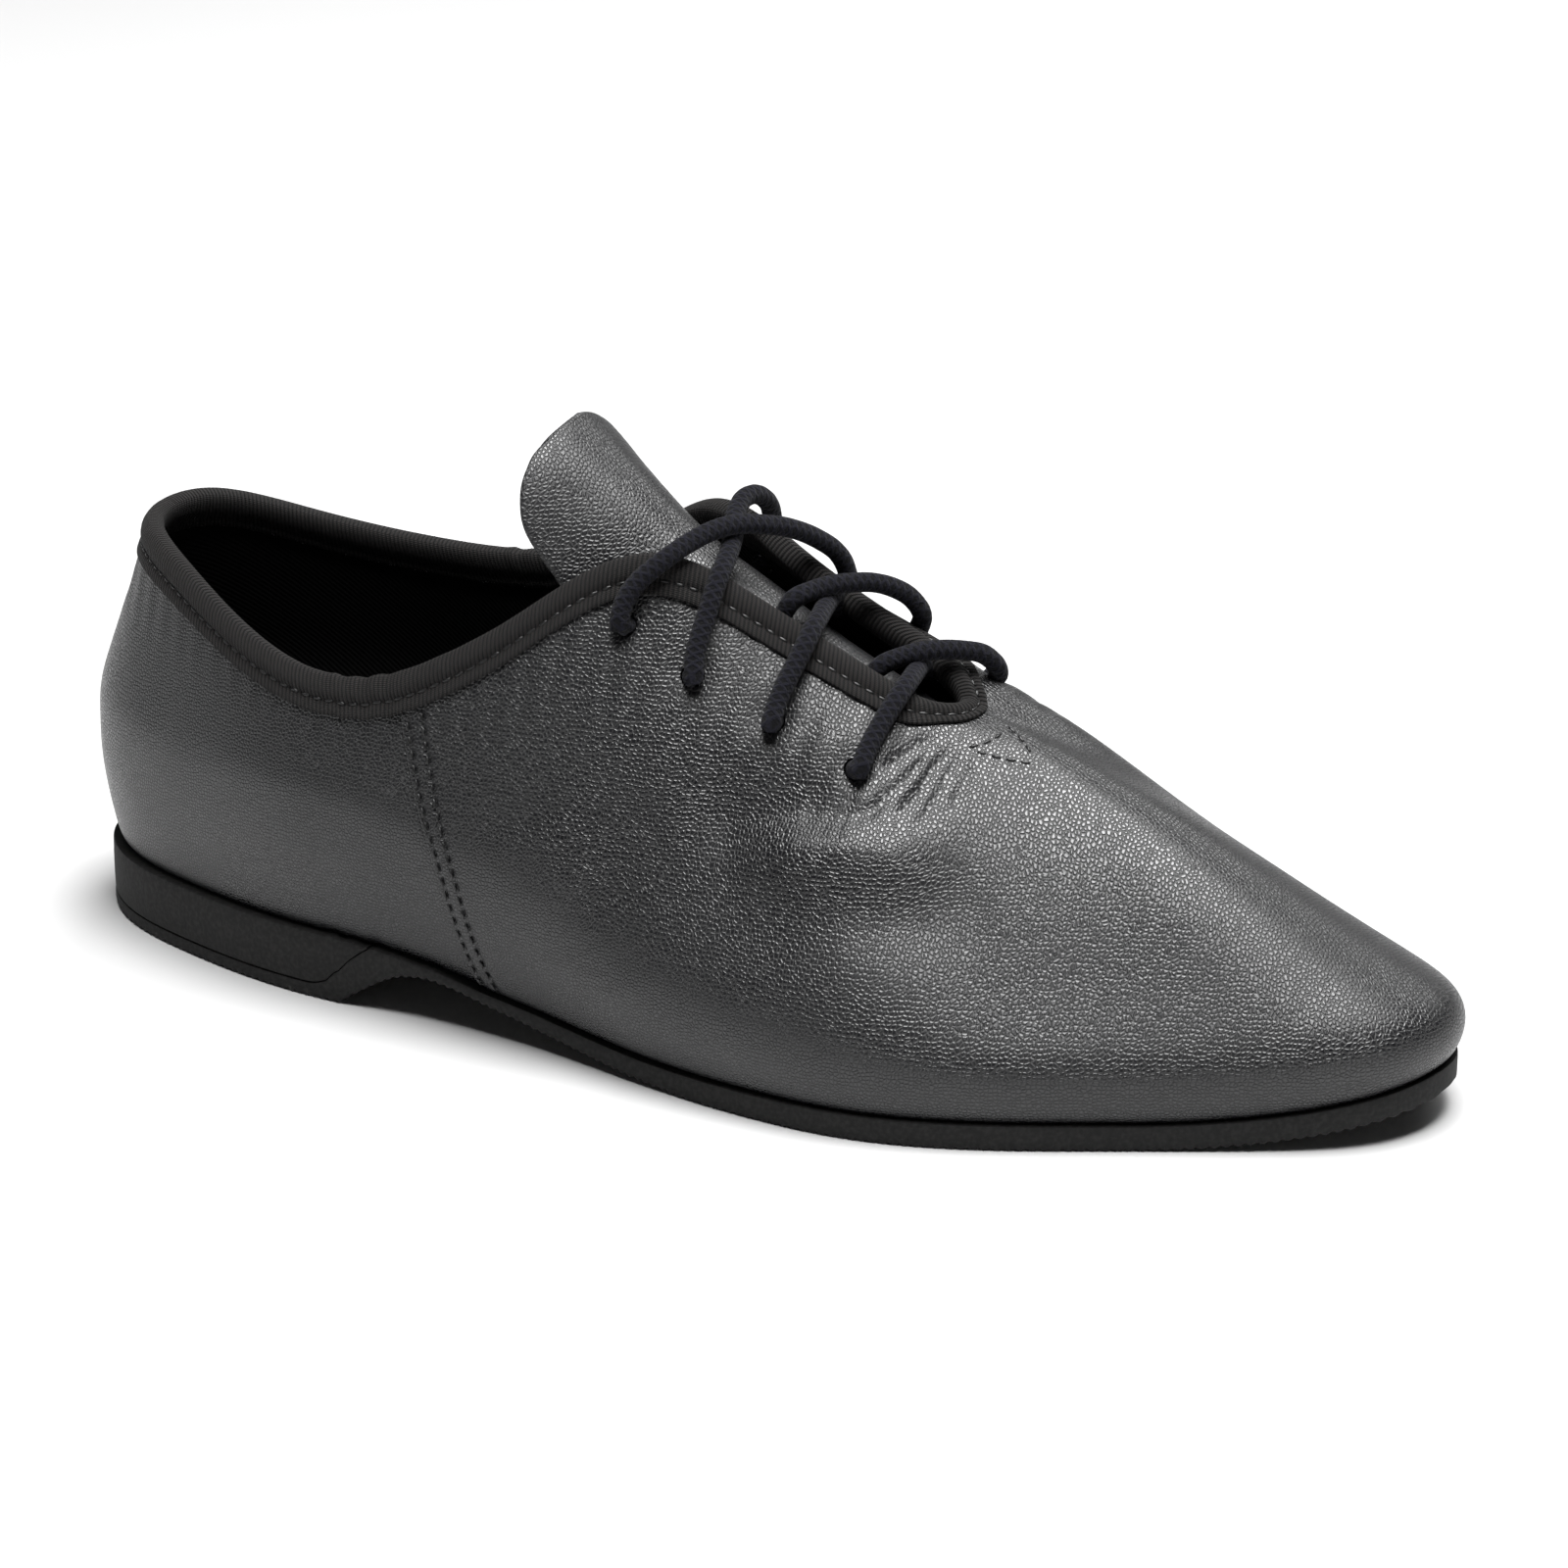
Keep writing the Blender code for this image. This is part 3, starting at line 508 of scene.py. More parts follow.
@dataclass(frozen=True)
class GrainLeather:
    """Soft chrome-tanned leather, printed with a pebble grain and finished with a satin coat.

    Every pebble catches the light on its crown; the valleys between are painted darker as shade, and are
    rougher.
    """

    name: str = "black_grain_leather"
    crown: str = "121215"
    painted_valley_shade: str = "040405"
    pebble: float = 0.00066
    depth: float = 0.000085
    roughness: float = 0.29
    valley_roughness: float = 0.55
    coat: float = 0.8
    sway: float = 0.0005
    ragged: float = 0.4

    def laid_flat(self, tree: Tree, place: Source) -> Source:
        """Place on the sheet that the grain is printed on, from the way the leather faces.

        Args:
            tree: Node tree to add to.
            place: Place on the shoe.

        Returns:
            The place with the length that runs into the leather left out.
        """
        normal = add_node(tree, "NewGeometry").outputs["Normal"]
        facing = add_node(tree, "VectorMath", {0: normal}, operation="ABSOLUTE")
        faces = add_node(tree, "SeparateXYZ", {"Vector": facing})
        parts = add_node(tree, "SeparateXYZ", {"Vector": place})
        top, side, end = (
            add_node(tree, "CombineXYZ", {0: parts.outputs[first], 1: parts.outputs[second]})
            for first, second in ("XY", "XZ", "YZ"))
        ragged = add_node(tree, "TexNoise", {"Vector": place, "Scale": 420.0, "Detail": 1.0})
        wall = add_node(tree, "Math", {0: faces.outputs["X"], 1: faces.outputs["Y"]}, operation="MAXIMUM")
        chosen = end
        for steep, flat, plane in ((faces.outputs["X"], faces.outputs["Y"], side),
                                   (wall, faces.outputs["Z"], top)):
            gap = add_node(tree, "Math", {0: flat, 1: steep}, operation="SUBTRACT")
            nudge = add_node(
                tree, "Math", {0: ragged.outputs["Fac"], 1: self.ragged, 2: gap}, operation="MULTIPLY_ADD")
            factor = add_node(tree, "Math", {0: nudge, 1: self.ragged / 2.0}, operation="GREATER_THAN")
            values = {0: factor, 4: chosen, 5: plane}
            chosen = add_node(tree, "Mix", values, data_type="VECTOR").outputs[1]
        return chosen

    def build(self) -> Finish:
        """Make the material.

        Returns:
            The material.
        """
        material, tree, shader = start_material(self.name, self.roughness, self.coat)
        place = add_node(tree, "TexCoord").outputs["Object"]
        sway = add_node(tree, "TexNoise", {"Vector": place, "Scale": 240.0, "Detail": 2.0})
        values = {0: sway.outputs["Color"], 1: (0.5,) * 3}
        centred = add_node(tree, "VectorMath", values, operation="SUBTRACT")
        values = {0: centred, 1: (self.sway,) * 3, 2: place}
        shifted = add_node(tree, "VectorMath", values, operation="MULTIPLY_ADD")
        values = {"Vector": self.laid_flat(tree, shifted), "Scale": 1.0 / self.pebble, "Randomness": 0.78}
        cells = add_node(tree, "TexVoronoi", values, feature="DISTANCE_TO_EDGE", voronoi_dimensions="2D")
        crown = add_node(tree, "MapRange", {0: cells.outputs["Distance"], 1: 0.03, 2: 0.30}, **SOFT)
        pores = add_node(tree, "TexNoise", {"Vector": place, "Scale": 5200.0, "Detail": 2.0})
        values = {0: pores.outputs["Fac"], 1: 0.16, 2: crown}
        height = add_node(tree, "Math", values, operation="MULTIPLY_ADD")
        cloud = add_node(tree, "TexNoise", {"Vector": place, "Scale": 34.0, "Detail": 3.0})
        values = {0: cloud.outputs["Fac"], 1: 0.3, 2: 0.7, 3: -0.05, 4: 0.05}
        worn = add_node(tree, "MapRange", values, **SOFT)
        values = {0: crown, 1: 0.0, 2: 1.0, 3: self.valley_roughness, 4: self.roughness}
        smooth = add_node(tree, "MapRange", values, **SOFT)
        rough = add_node(tree, "Math", {0: smooth, 1: worn})
        tree.links.new(rough.outputs[0], shader.inputs["Roughness"])
        # Painted shade: the valleys between the pebbles take the darker colour.
        show(tree, shader, crown, (self.painted_valley_shade, self.crown), height, 0.85, self.depth)
        return material


@dataclass(frozen=True)
class RibbedTape:
    """Polyester grosgrain tape: thick cross ribs under fine warp threads, dull and slightly warm, with
    painted shade on the sides of the ribs.
    """

    name: str = "ribbed_binding_tape"
    rib_top: str = "242120"
    rib_side_shade: str = "060606"
    rib_pitch: float = 0.00080
    rib_depth: float = 0.00045
    thread_pitch: float = 0.00034

    def build(self) -> Finish:
        """Make the material.

        Returns:
            The material.
        """
        material, tree, shader = start_material(self.name, 0.82, 0.3, 0.03)
        place = add_node(tree, "UVMap", uv_map="surface").outputs["UV"]
        fuzz = add_node(tree, "TexNoise", {"Vector": place, "Scale": 1900.0, "Detail": 2.0})
        parts = add_node(tree, "SeparateXYZ", {"Vector": place})
        waves = []
        for axis, pitch in (("X", self.rib_pitch), ("Y", self.thread_pitch)):
            values = {0: parts.outputs[axis], 1: 2.0 * math.pi / pitch, 2: fuzz.outputs["Fac"]}
            turn = add_node(tree, "Math", values, operation="MULTIPLY_ADD")
            waves.append(add_node(tree, "Math", {0: turn}, operation="SINE"))
        rib = add_node(tree, "MapRange", {0: waves[0], 1: -0.9, 2: 0.7}, **SOFT)
        height = add_node(tree, "Math", {0: waves[1], 1: 0.14, 2: rib}, operation="MULTIPLY_ADD")
        # Painted shade: the sides of the ribs take the darker colour.
        show(tree, shader, rib, (self.rib_side_shade, self.rib_top), height, 1.0, self.rib_depth)
        return material


@dataclass(frozen=True)
class CottonCord:
    """Round braided cotton lace, dyed blue-black: matt, with a soft halo of loose fibre and painted shade in
    the gaps of the braid.

    The braid is drawn a little coarser than a real one, which would be too fine to show.
    """

    name: str = "braided_cotton_lace"
    yarn: str = "1C1C28"
    gap: str = "06060A"
    yarn_pitch: float = 0.00150
    yarns_round: float = 4.0

    def build(self) -> Finish:
        """Make the material.

        Returns:
            The material.
        """
        material, tree, shader = start_material(self.name, 0.95, 0.2, 0.04, 0.6)
        place = add_node(tree, "UVMap", uv_map="surface").outputs["UV"]
        parts = add_node(tree, "SeparateXYZ", {"Vector": place})
        solid = add_node(tree, "TexCoord").outputs["Object"]
        fibre = add_node(tree, "TexNoise", {"Vector": solid, "Scale": 2600.0, "Detail": 4.0})
        values = {0: parts.outputs["X"], 1: 2.0 * math.pi / self.yarn_pitch, 2: fibre.outputs["Fac"]}
        along = add_node(tree, "Math", values, operation="MULTIPLY_ADD")
        weave = []
        for turns in (self.yarns_round, -self.yarns_round):
            values = {0: parts.outputs["Y"], 1: 2.0 * math.pi * turns, 2: along}
            around = add_node(tree, "Math", values, operation="MULTIPLY_ADD")
            weave.append(add_node(tree, "Math", {0: around}, operation="SINE"))
        braid = add_node(tree, "Math", {0: weave[0], 1: weave[1]}, operation="MAXIMUM")
        rise = add_node(tree, "MapRange", {0: braid, 1: -0.2, 2: 1.0}, **SOFT)
        values = {0: fibre.outputs["Fac"], 1: 1.6, 2: rise}
        height = add_node(tree, "Math", values, operation="MULTIPLY_ADD")
        # Painted shade and fibre tone: the gaps of the braid and random fibre take the darker colour.
        tone = add_node(tree, "Math", {0: rise, 1: fibre.outputs["Fac"]}, operation="MULTIPLY")
        show(tree, shader, tone, (self.gap, self.yarn), height, 0.8, 0.00020)
        return material


@dataclass(frozen=True)
class SoleRubber:
    """Split crepe rubber, cut and buffed: matt, a little open, with pale scuffs low on the heel."""

    name: str = "buffed_sole_rubber"
    body: str = "121212"
    dust: str = "4A4947"
    scuff_height: float = 0.0022

    def build(self) -> Finish:
        """Make the material.

        Returns:
            The material.
        """
        material, tree, shader = start_material(self.name, 0.78, 0.35)
        place = add_node(tree, "TexCoord").outputs["Object"]
        parts = add_node(tree, "SeparateXYZ", {"Vector": place})
        grit = add_node(tree, "TexNoise", {"Vector": place, "Scale": 1300.0, "Detail": 5.0})
        values = {"Vector": place, "Scale": 620.0, "Detail": 4.0, "Roughness": 0.7}
        specks = add_node(tree, "TexNoise", values)
        low = add_node(tree, "MapRange", {0: parts.outputs["Z"], 1: self.scuff_height, 2: 0.0002}, **SOFT)
        back = add_node(tree, "MapRange", {0: parts.outputs["X"], 1: -0.045, 2: -0.075}, **SOFT)
        where = add_node(tree, "Math", {0: low, 1: back}, operation="MULTIPLY")
        speck = add_node(tree, "MapRange", {0: specks.outputs["Fac"], 1: 0.56, 2: 0.68}, **SOFT)
        spot = add_node(tree, "Math", {0: speck, 1: where}, operation="MULTIPLY")
        values = {0: grit.outputs["Fac"], 1: 0.35, 2: 0.75, 3: 0.0, 4: 0.16}
        fine = add_node(tree, "MapRange", values, **SOFT)
        tone = add_node(tree, "Math", {0: spot, 1: fine}, operation="MAXIMUM")
        show(tree, shader, tone, (self.body, self.dust), grit.outputs["Fac"], 0.5, 0.0002)
        return material


@dataclass(frozen=True)
class LiningCloth:
    """Brushed cotton twill on the inside: matt black, with a fine diagonal weave.

    The weave is drawn coarser than a real one, which would be too fine to show.
    """

    name: str = "cotton_twill_lining"
    thread: str = "141414"
    gap: str = "060606"
    twill_pitch: float = 0.0011

    def build(self) -> Finish:
        """Make the material.

        Returns:
            The material.
        """
        material, tree, shader = start_material(self.name, 0.95, 0.15, 0.02)
        place = add_node(tree, "TexCoord").outputs["Object"]
        parts = add_node(tree, "SeparateXYZ", {"Vector": place})
        slant = add_node(tree, "Math", {0: parts.outputs["X"], 1: parts.outputs["Z"]}, operation="ADD")
        values = {0: slant, 1: 2.0 * math.pi / self.twill_pitch}
        turn = add_node(tree, "Math", values, operation="MULTIPLY")
        wave = add_node(tree, "Math", {0: turn}, operation="SINE")
        nap = add_node(tree, "TexNoise", {"Vector": place, "Scale": 1500.0, "Detail": 3.0})
        ridge = add_node(tree, "MapRange", {0: wave, 1: -1.0, 2: 1.0}, **SOFT)
        values = {0: nap.outputs["Fac"], 1: 0.8, 2: ridge}
        height = add_node(tree, "Math", values, operation="MULTIPLY_ADD")
        show(tree, shader, nap.outputs["Fac"], (self.gap, self.thread), height, 0.6, 0.0002)
        return material


@dataclass(frozen=True)
class SewingThread:
    """Bonded polyester thread: two plies twisted hard, with a faint gloss and painted shade in the grooves
    of the twist.
    """

    name: str = "twisted_sewing_thread"
    ply: str = "0E0E0F"
    groove: str = "030303"
    twist: float = 0.0006

    def build(self) -> Finish:
        """Make the material.

        Returns:
            The material.
        """
        material, tree, shader = start_material(self.name, 0.42, 0.6)
        place = add_node(tree, "TexCoord").outputs["Object"]
        turned = add_node(tree, "Mapping", {"Vector": place, "Rotation": (0.5, 0.4, 0.8)})
        values = {"Vector": turned, "Scale": 0.31 / self.twist, "Distortion": 1.5}
        wave = add_node(tree, "TexWave", values).outputs["Fac"]
        # Painted shade: the grooves of the twist take the darker colour.
        show(tree, shader, wave, (self.groove, self.ply), wave, 0.6, 0.0001)
        return material


def to_mesh(name: str, work: bmesh.types.BMesh) -> bpy.types.Mesh:
    """New mesh of what is in work, which is then freed.

    Args:
        name: Name of the mesh.
        work: What to make it of.

    Returns:
        The mesh.
    """
    mesh = bpy.data.meshes.new(name)
    work.to_mesh(mesh)
    work.free()
    return mesh


def add_object(name: str, data: bpy.types.ID) -> Piece:
    """New object of the scene, at the origin.

    Args:
        name: Name of the object.
        data: Its mesh, light or camera.

    Returns:
        The object.
    """
    thing = bpy.data.objects.new(name, data)
    bpy.context.scene.collection.objects.link(thing)
    return thing


def grid_mesh(name: str, points: Array, uv: Array | None = None, bands: tuple[int, ...] = (),
              closed: bool = False, sharp_deg: float = 60.0) -> Piece:
    """Mesh over rows of points, with doubles merged and open ends closed.

    Args:
        name: Name of the piece.
        points: Array of rows by points by 3.
        uv: Array of rows by points by 2, for the map named surface.
        bands: Point numbers where the next material begins.
        closed: Whether what is left open is filled.
        sharp_deg: Edges that turn by more than this stay sharp.

    Returns:
        The object, at the origin.
    """
    rows, count = points.shape[:2]
    work = bmesh.new()
    bmesh.ops.create_grid(work, x_segments=rows - 1, y_segments=count - 1, size=0.5)
    mesh = to_mesh(name, work)
    flat = np.zeros(len(mesh.vertices) * 3)
    mesh.vertices.foreach_get("co", flat)
    flat = flat.reshape(-1, 3)
    i = np.rint((flat[:, 0] + 0.5) * (rows - 1)).astype(int)
    j = np.rint((flat[:, 1] + 0.5) * (count - 1)).astype(int)
    mesh.vertices.foreach_set("co", points[i, j].ravel())
    corner = np.zeros(len(mesh.loops), dtype=np.int32)
    mesh.loops.foreach_get("vertex_index", corner)
    if uv is not None:
        mesh.uv_layers.new(name="surface").data.foreach_set("uv", uv[i[corner], j[corner]].ravel())
    if bands:
        first = j[corner].reshape(-1, 4).min(axis=1)
        material = np.searchsorted(bands, first, side="right").astype(np.int32)
        mesh.polygons.foreach_set("material_index", material)
    work = bmesh.new()
    work.from_mesh(mesh)
    bmesh.ops.remove_doubles(work, verts=work.verts, dist=1e-7)
    if closed:
        open_edges = [edge for edge in work.edges if edge.is_boundary]
        bmesh.ops.holes_fill(work, edges=open_edges, sides=0)
    bmesh.ops.recalc_face_normals(work, faces=work.faces)
    work.to_mesh(mesh)
    work.free()
    mesh.shade_smooth()
    mesh.set_sharp_from_angle(angle=math.radians(sharp_deg))
    return add_object(name, mesh)


def tube(name: str, path: Array, wide: Array, high: Array, face: Array, sides: int) -> Piece:
    """Cord along a path, flattened where it is squeezed.

    Args:
        name: Name of the piece.
        path: Points of the middle line.
        wide: Half width at each point.
        high: Half height at each point, along face.
        face: Direction at each point that the height is measured in.
        sides: Number of sides.

    Returns:
        The object.
    """
    ahead = unit(np.gradient(path, axis=0))
    up = unit(face - ahead * np.sum(face * ahead, axis=1, keepdims=True))
    side = np.cross(ahead, up)
    turn = np.linspace(0.0, 2.0 * math.pi, sides + 1)
    rings = (
        path[:, None] + side[:, None] * (np.cos(turn)[None, :] * wide[:, None])[..., None]
        + up[:, None] * (np.sin(turn)[None, :] * high[:, None])[..., None]
    )
    way = way_along(path)
    uv = np.stack(np.broadcast_arrays(way[:, None], turn[None, :] / (2.0 * math.pi)), axis=-1)
    return grid_mesh(name, rings, uv, closed=True)


def dress(thing: Piece, slot: Slot, finishes: tuple[Finish, ...], *nodes: str) -> Piece:
    """Give a piece its finish, and let it ride in place of its solids.

    Args:
        thing: The piece.
        slot: Not used.
        finishes: Its materials.
        nodes: Solids that it stands for.

    Returns:
        The piece.
    """
    for finish in finishes:
        thing.data.materials.append(finish)
    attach(thing, "root")
    if nodes:
        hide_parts(*nodes)
    thing.data.calc_loop_triangles()
    LOG.info("%s: %d triangles", thing.name, len(thing.data.loop_triangles))
    return thing


@dataclass(frozen=True)
class Crease:
    """Soft trough (height below 0) or ridge along a line of (u, v) places on the upper."""

    places: tuple[tuple[float, float], ...]
    height: float
    width: float

    def lift(self, points: Array) -> Array:
        """How far the crease moves each point off the smooth face.

        Args:
            points: Points of the smooth face.

        Returns:
            One distance for each point, outward.
        """
        line = even_path(np.array([LAST.skin(u, v) for u, v in self.places]), 0.0009)
        near = np.full(points.shape[:-1], 1e9)
        share = np.zeros_like(near)
        reach = self.width * 3.0
        box = np.all((points > line.min(axis=0) - reach) & (points < line.max(axis=0) + reach), axis=-1)
        spots = points[box]
        best, best_share = near[box], share[box]
        for k, knot in enumerate(line):
            far = np.linalg.norm(spots - knot, axis=-1)
            closer = far < best
            best = np.where(closer, far, best)
            best_share = np.where(closer, k / (len(line) - 1), best_share)
        ends = soft_step(best_share, -0.05, 0.3) * soft_step(1.0 - best_share, -0.05, 0.35)
        result = np.zeros_like(near)
        result[box] = self.height * np.exp(-((best / self.width) ** 2)) * ends
        return result


@dataclass
class Upper:
    """Leather upper: a front that laps over the heel part, with its lining and holes; its stitches are made
    by Stitching.
    """

    front_columns: int = 400
    heel_columns: int = 120
    low_rows: int = 74
    high_rows: int = 54
    lining_rows: int = 26
    low_share: float = 0.78
    hole_diameter: float = 0.0040
    hole_dimple: float = 0.0005
    dimple_radius: float = 0.0032
    tuck: float = 0.0007
    tuck_height: float = 0.0009
    pucker: float = 0.00010
    pucker_pitch: float = 0.0046
    seam_grooves: tuple[tuple[float, float, float], ...] = (
        (-0.0007, 0.00055, 0.0008), (0.0014, 0.00022, 0.0006), (0.0044, 0.00022, 0.0006))
    near_holes: tuple[tuple[float, float], ...] = (
        (0.3250, 0.897), (0.2935, 0.908), (0.2655, 0.913), (0.2420, 0.945))
    far_holes: tuple[tuple[float, float], ...] = (
        (0.6390, 0.912), (0.6740, 0.930), (0.7030, 0.934), (0.7370, 0.943))
    creases: tuple[Crease, ...] = (
        Crease(((0.284, 0.72), (0.3015, 0.768), (0.3215, 0.79), (0.3435, 0.797), (0.372, 0.80)),
               0.0014, 0.0068),
        Crease(((0.262, 0.75), (0.287, 0.800), (0.3105, 0.828), (0.336, 0.862)), -0.0015, 0.0070),
        Crease(((0.225, 0.62), (0.255, 0.66), (0.285, 0.69), (0.310, 0.74)), -0.0012, 0.0120),
        Crease(((0.385, 0.77), (0.3575, 0.755), (0.3355, 0.738), (0.316, 0.698), (0.2975, 0.60),
                (0.286, 0.48)),
               -0.0010, 0.0085),
        Crease(((0.3925, 0.953), (0.3665, 0.92), (0.3525, 0.883), (0.338, 0.845)), -0.00055, 0.0012),
        Crease(((0.3825, 0.955), (0.3575, 0.92), (0.343, 0.885), (0.330, 0.85), (0.318, 0.83)),
               -0.00055, 0.0012),
        Crease(((0.402, 0.948), (0.373, 0.91), (0.359, 0.873), (0.348, 0.835)), -0.00050, 0.0012),
        Crease(((0.3755, 0.963), (0.35, 0.93), (0.3345, 0.90)), -0.00045, 0.0011),
        Crease(((0.406, 0.938), (0.382, 0.90), (0.369, 0.863)), -0.00042, 0.0012),
        Crease(((0.3875, 0.957), (0.3625, 0.925), (0.3485, 0.893), (0.335, 0.86)), 0.00034, 0.0010),
        Crease(((0.235, 0.60), (0.243, 0.42), (0.250, 0.22)), -0.0006, 0.0080),
        Crease(((0.215, 0.70), (0.220, 0.50), (0.226, 0.28)), 0.0005, 0.0080),
        Crease(((0.690, 0.62), (0.668, 0.72), (0.640, 0.78), (0.610, 0.80)), -0.0009, 0.0080),
        Crease(((0.700, 0.50), (0.680, 0.60), (0.652, 0.68), (0.620, 0.72)), 0.0008, 0.0075),
        Crease(((0.585, 0.955), (0.607, 0.92), (0.620, 0.88), (0.632, 0.84)), -0.00032, 0.0012),
        Crease(((0.575, 0.950), (0.598, 0.91), (0.610, 0.87)), -0.00028, 0.0012),
        Crease(((0.030, 0.36), (0.000, 0.33), (0.970, 0.36)), -0.0004, 0.0060),
    )

    def relief(self, u: Array, v: Array, points: Array) -> Array:
        """How far the leather stands off the smooth face.

        Args:
            u: Share of the way round at each point.
            v: Height at each point.
            points: Points of the smooth face.

        Returns:
            One distance for each point, outward.
        """
        lift = sum(crease.lift(points) for crease in self.creases)
        for hole in (*self.near_holes, *self.far_holes):
            far = np.linalg.norm(points - LAST.skin(*hole), axis=-1)
            lift = lift - self.hole_dimple * np.exp(-((far / self.dimple_radius) ** 2))
        for side, ahead in ((Side.OUTER, 1.0), (Side.INNER, -1.0)):
            past = ahead * (u - LAST.seam_u(side, v)) * LAST.knots[-1]
            for place, depth, width in self.seam_grooves:
                lift = lift - depth * np.exp(-(((past - place) / width) ** 2))
        foot = LAST.sole_line(points[..., 0] - LAST.middle[0])[2]
        lift = lift - self.tuck * np.exp(-(np.maximum(points[..., 2] - foot, 0.0) / self.tuck_height))
        wave = self.pucker * np.sin(points[..., 0] * 2.0 * math.pi / self.pucker_pitch)
        pucker = wave * soft_step(v, 0.80, 0.90)
        return lift + pucker * (1.0 - soft_step(np.abs(u - 0.5), 0.16, 0.10))

    def sections(self) -> tuple[Array, int]:
        """Closed sections of the wall, one for each column.

        Returns:
            Array of columns by points by 3, and the number of outer points.
        """
        v = np.concatenate((np.linspace(0.0, self.low_share, self.low_rows),
                            np.linspace(self.low_share, 1.0, self.high_rows + 1)[1:]))
        edge = np.array((0.0, 0.0004, 0.0010, 0.0018, 0.0028, 0.0040))
        near = np.linspace(0.0050, 0.0195, 22)
        middle = np.linspace(0.0195, 0.9805, self.front_columns)[1:-1]
        front = np.concatenate((edge, near, middle, 1.0 - near[::-1], 1.0 - edge[::-1]))
        heel = np.concatenate(
            ([0.0012, 0.004], np.linspace(0.008, 0.992, self.heel_columns), [0.996, 0.9988]))
        outer, inner = LAST.seam_u(Side.OUTER, v), LAST.seam_u(Side.INNER, v)
        u = np.concatenate((
            outer + (inner - outer) * front[:, None],
            inner + (1.0 + outer - inner) * heel[:, None],
        ))
        rounded = np.array((0.30, 0.80, 0.97, 1.0, 1.0, 1.0))
        lap = np.concatenate((
            rounded, np.ones(len(near) + len(middle) + len(near)), rounded[::-1], np.zeros(len(heel))))
        v = np.broadcast_to(v, u.shape)
        face = LAST.skin(u, v)
        normal = LAST.normal(u, v)
        lift = self.relief(u, v, face) + lap[:, None] * LAST.seam_step
        leather = face + normal * lift[..., None]
        leather[:, 0, 2] = LAST.sole_line(leather[:, 0, 0] - LAST.middle[0])[2] + LAST.fit_gap * 0.4
        keep = np.unique(np.linspace(0, v.shape[1] - 1, self.lining_rows).astype(int))[::-1]
        cloth = face[:, keep] - normal[:, keep] * LAST.wall
        cloth[:, -1, 2] = leather[:, 0, 2]
        rings = np.concatenate((leather, cloth, leather[:, :1]), axis=1)
        return np.concatenate((rings, rings[:1])), leather.shape[1]

    def punch(self, thing: Piece) -> None:
        """Punch the eight lace holes through the wall.

        Args:
            thing: The upper, whose mesh is changed.
        """
        work = bmesh.new()
        for hole in (*self.near_holes, *self.far_holes):
            turn = Vector(LAST.normal(*hole)).to_track_quat("Z", "Y").to_matrix().to_4x4()
            bmesh.ops.create_cone(
                work, cap_ends=True, segments=20, radius1=self.hole_diameter / 2.0,
                radius2=self.hole_diameter / 2.0, depth=LAST.wall * 6.0,
                matrix=Matrix.Translation(Vector(LAST.skin(*hole))) @ turn)
        tool = add_object("hole_punch", to_mesh("hole_punch", work))
        cut = thing.modifiers.new("holes", "BOOLEAN")
        cut.operation = "DIFFERENCE"
        cut.solver = "EXACT"
        cut.object = tool
        done = bpy.data.meshes.new_from_object(thing.evaluated_get(bpy.context.evaluated_depsgraph_get()))
        thing.modifiers.remove(cut)
        thing.data = done
        bpy.data.objects.remove(tool, do_unlink=True)

    def build(self, leather: Finish, lining: Finish) -> Piece:
        """Make the upper.

        Args:
            leather: Finish of the outside.
            lining: Finish of the inside.

        Returns:
            The piece.
        """
        rings, outer = self.sections()
        thing = grid_mesh("upper_leather", rings, bands=(outer,), sharp_deg=50.0)
        dress(thing, Slot.LEATHER, (leather, lining), "upper")
        self.punch(thing)
        return thing


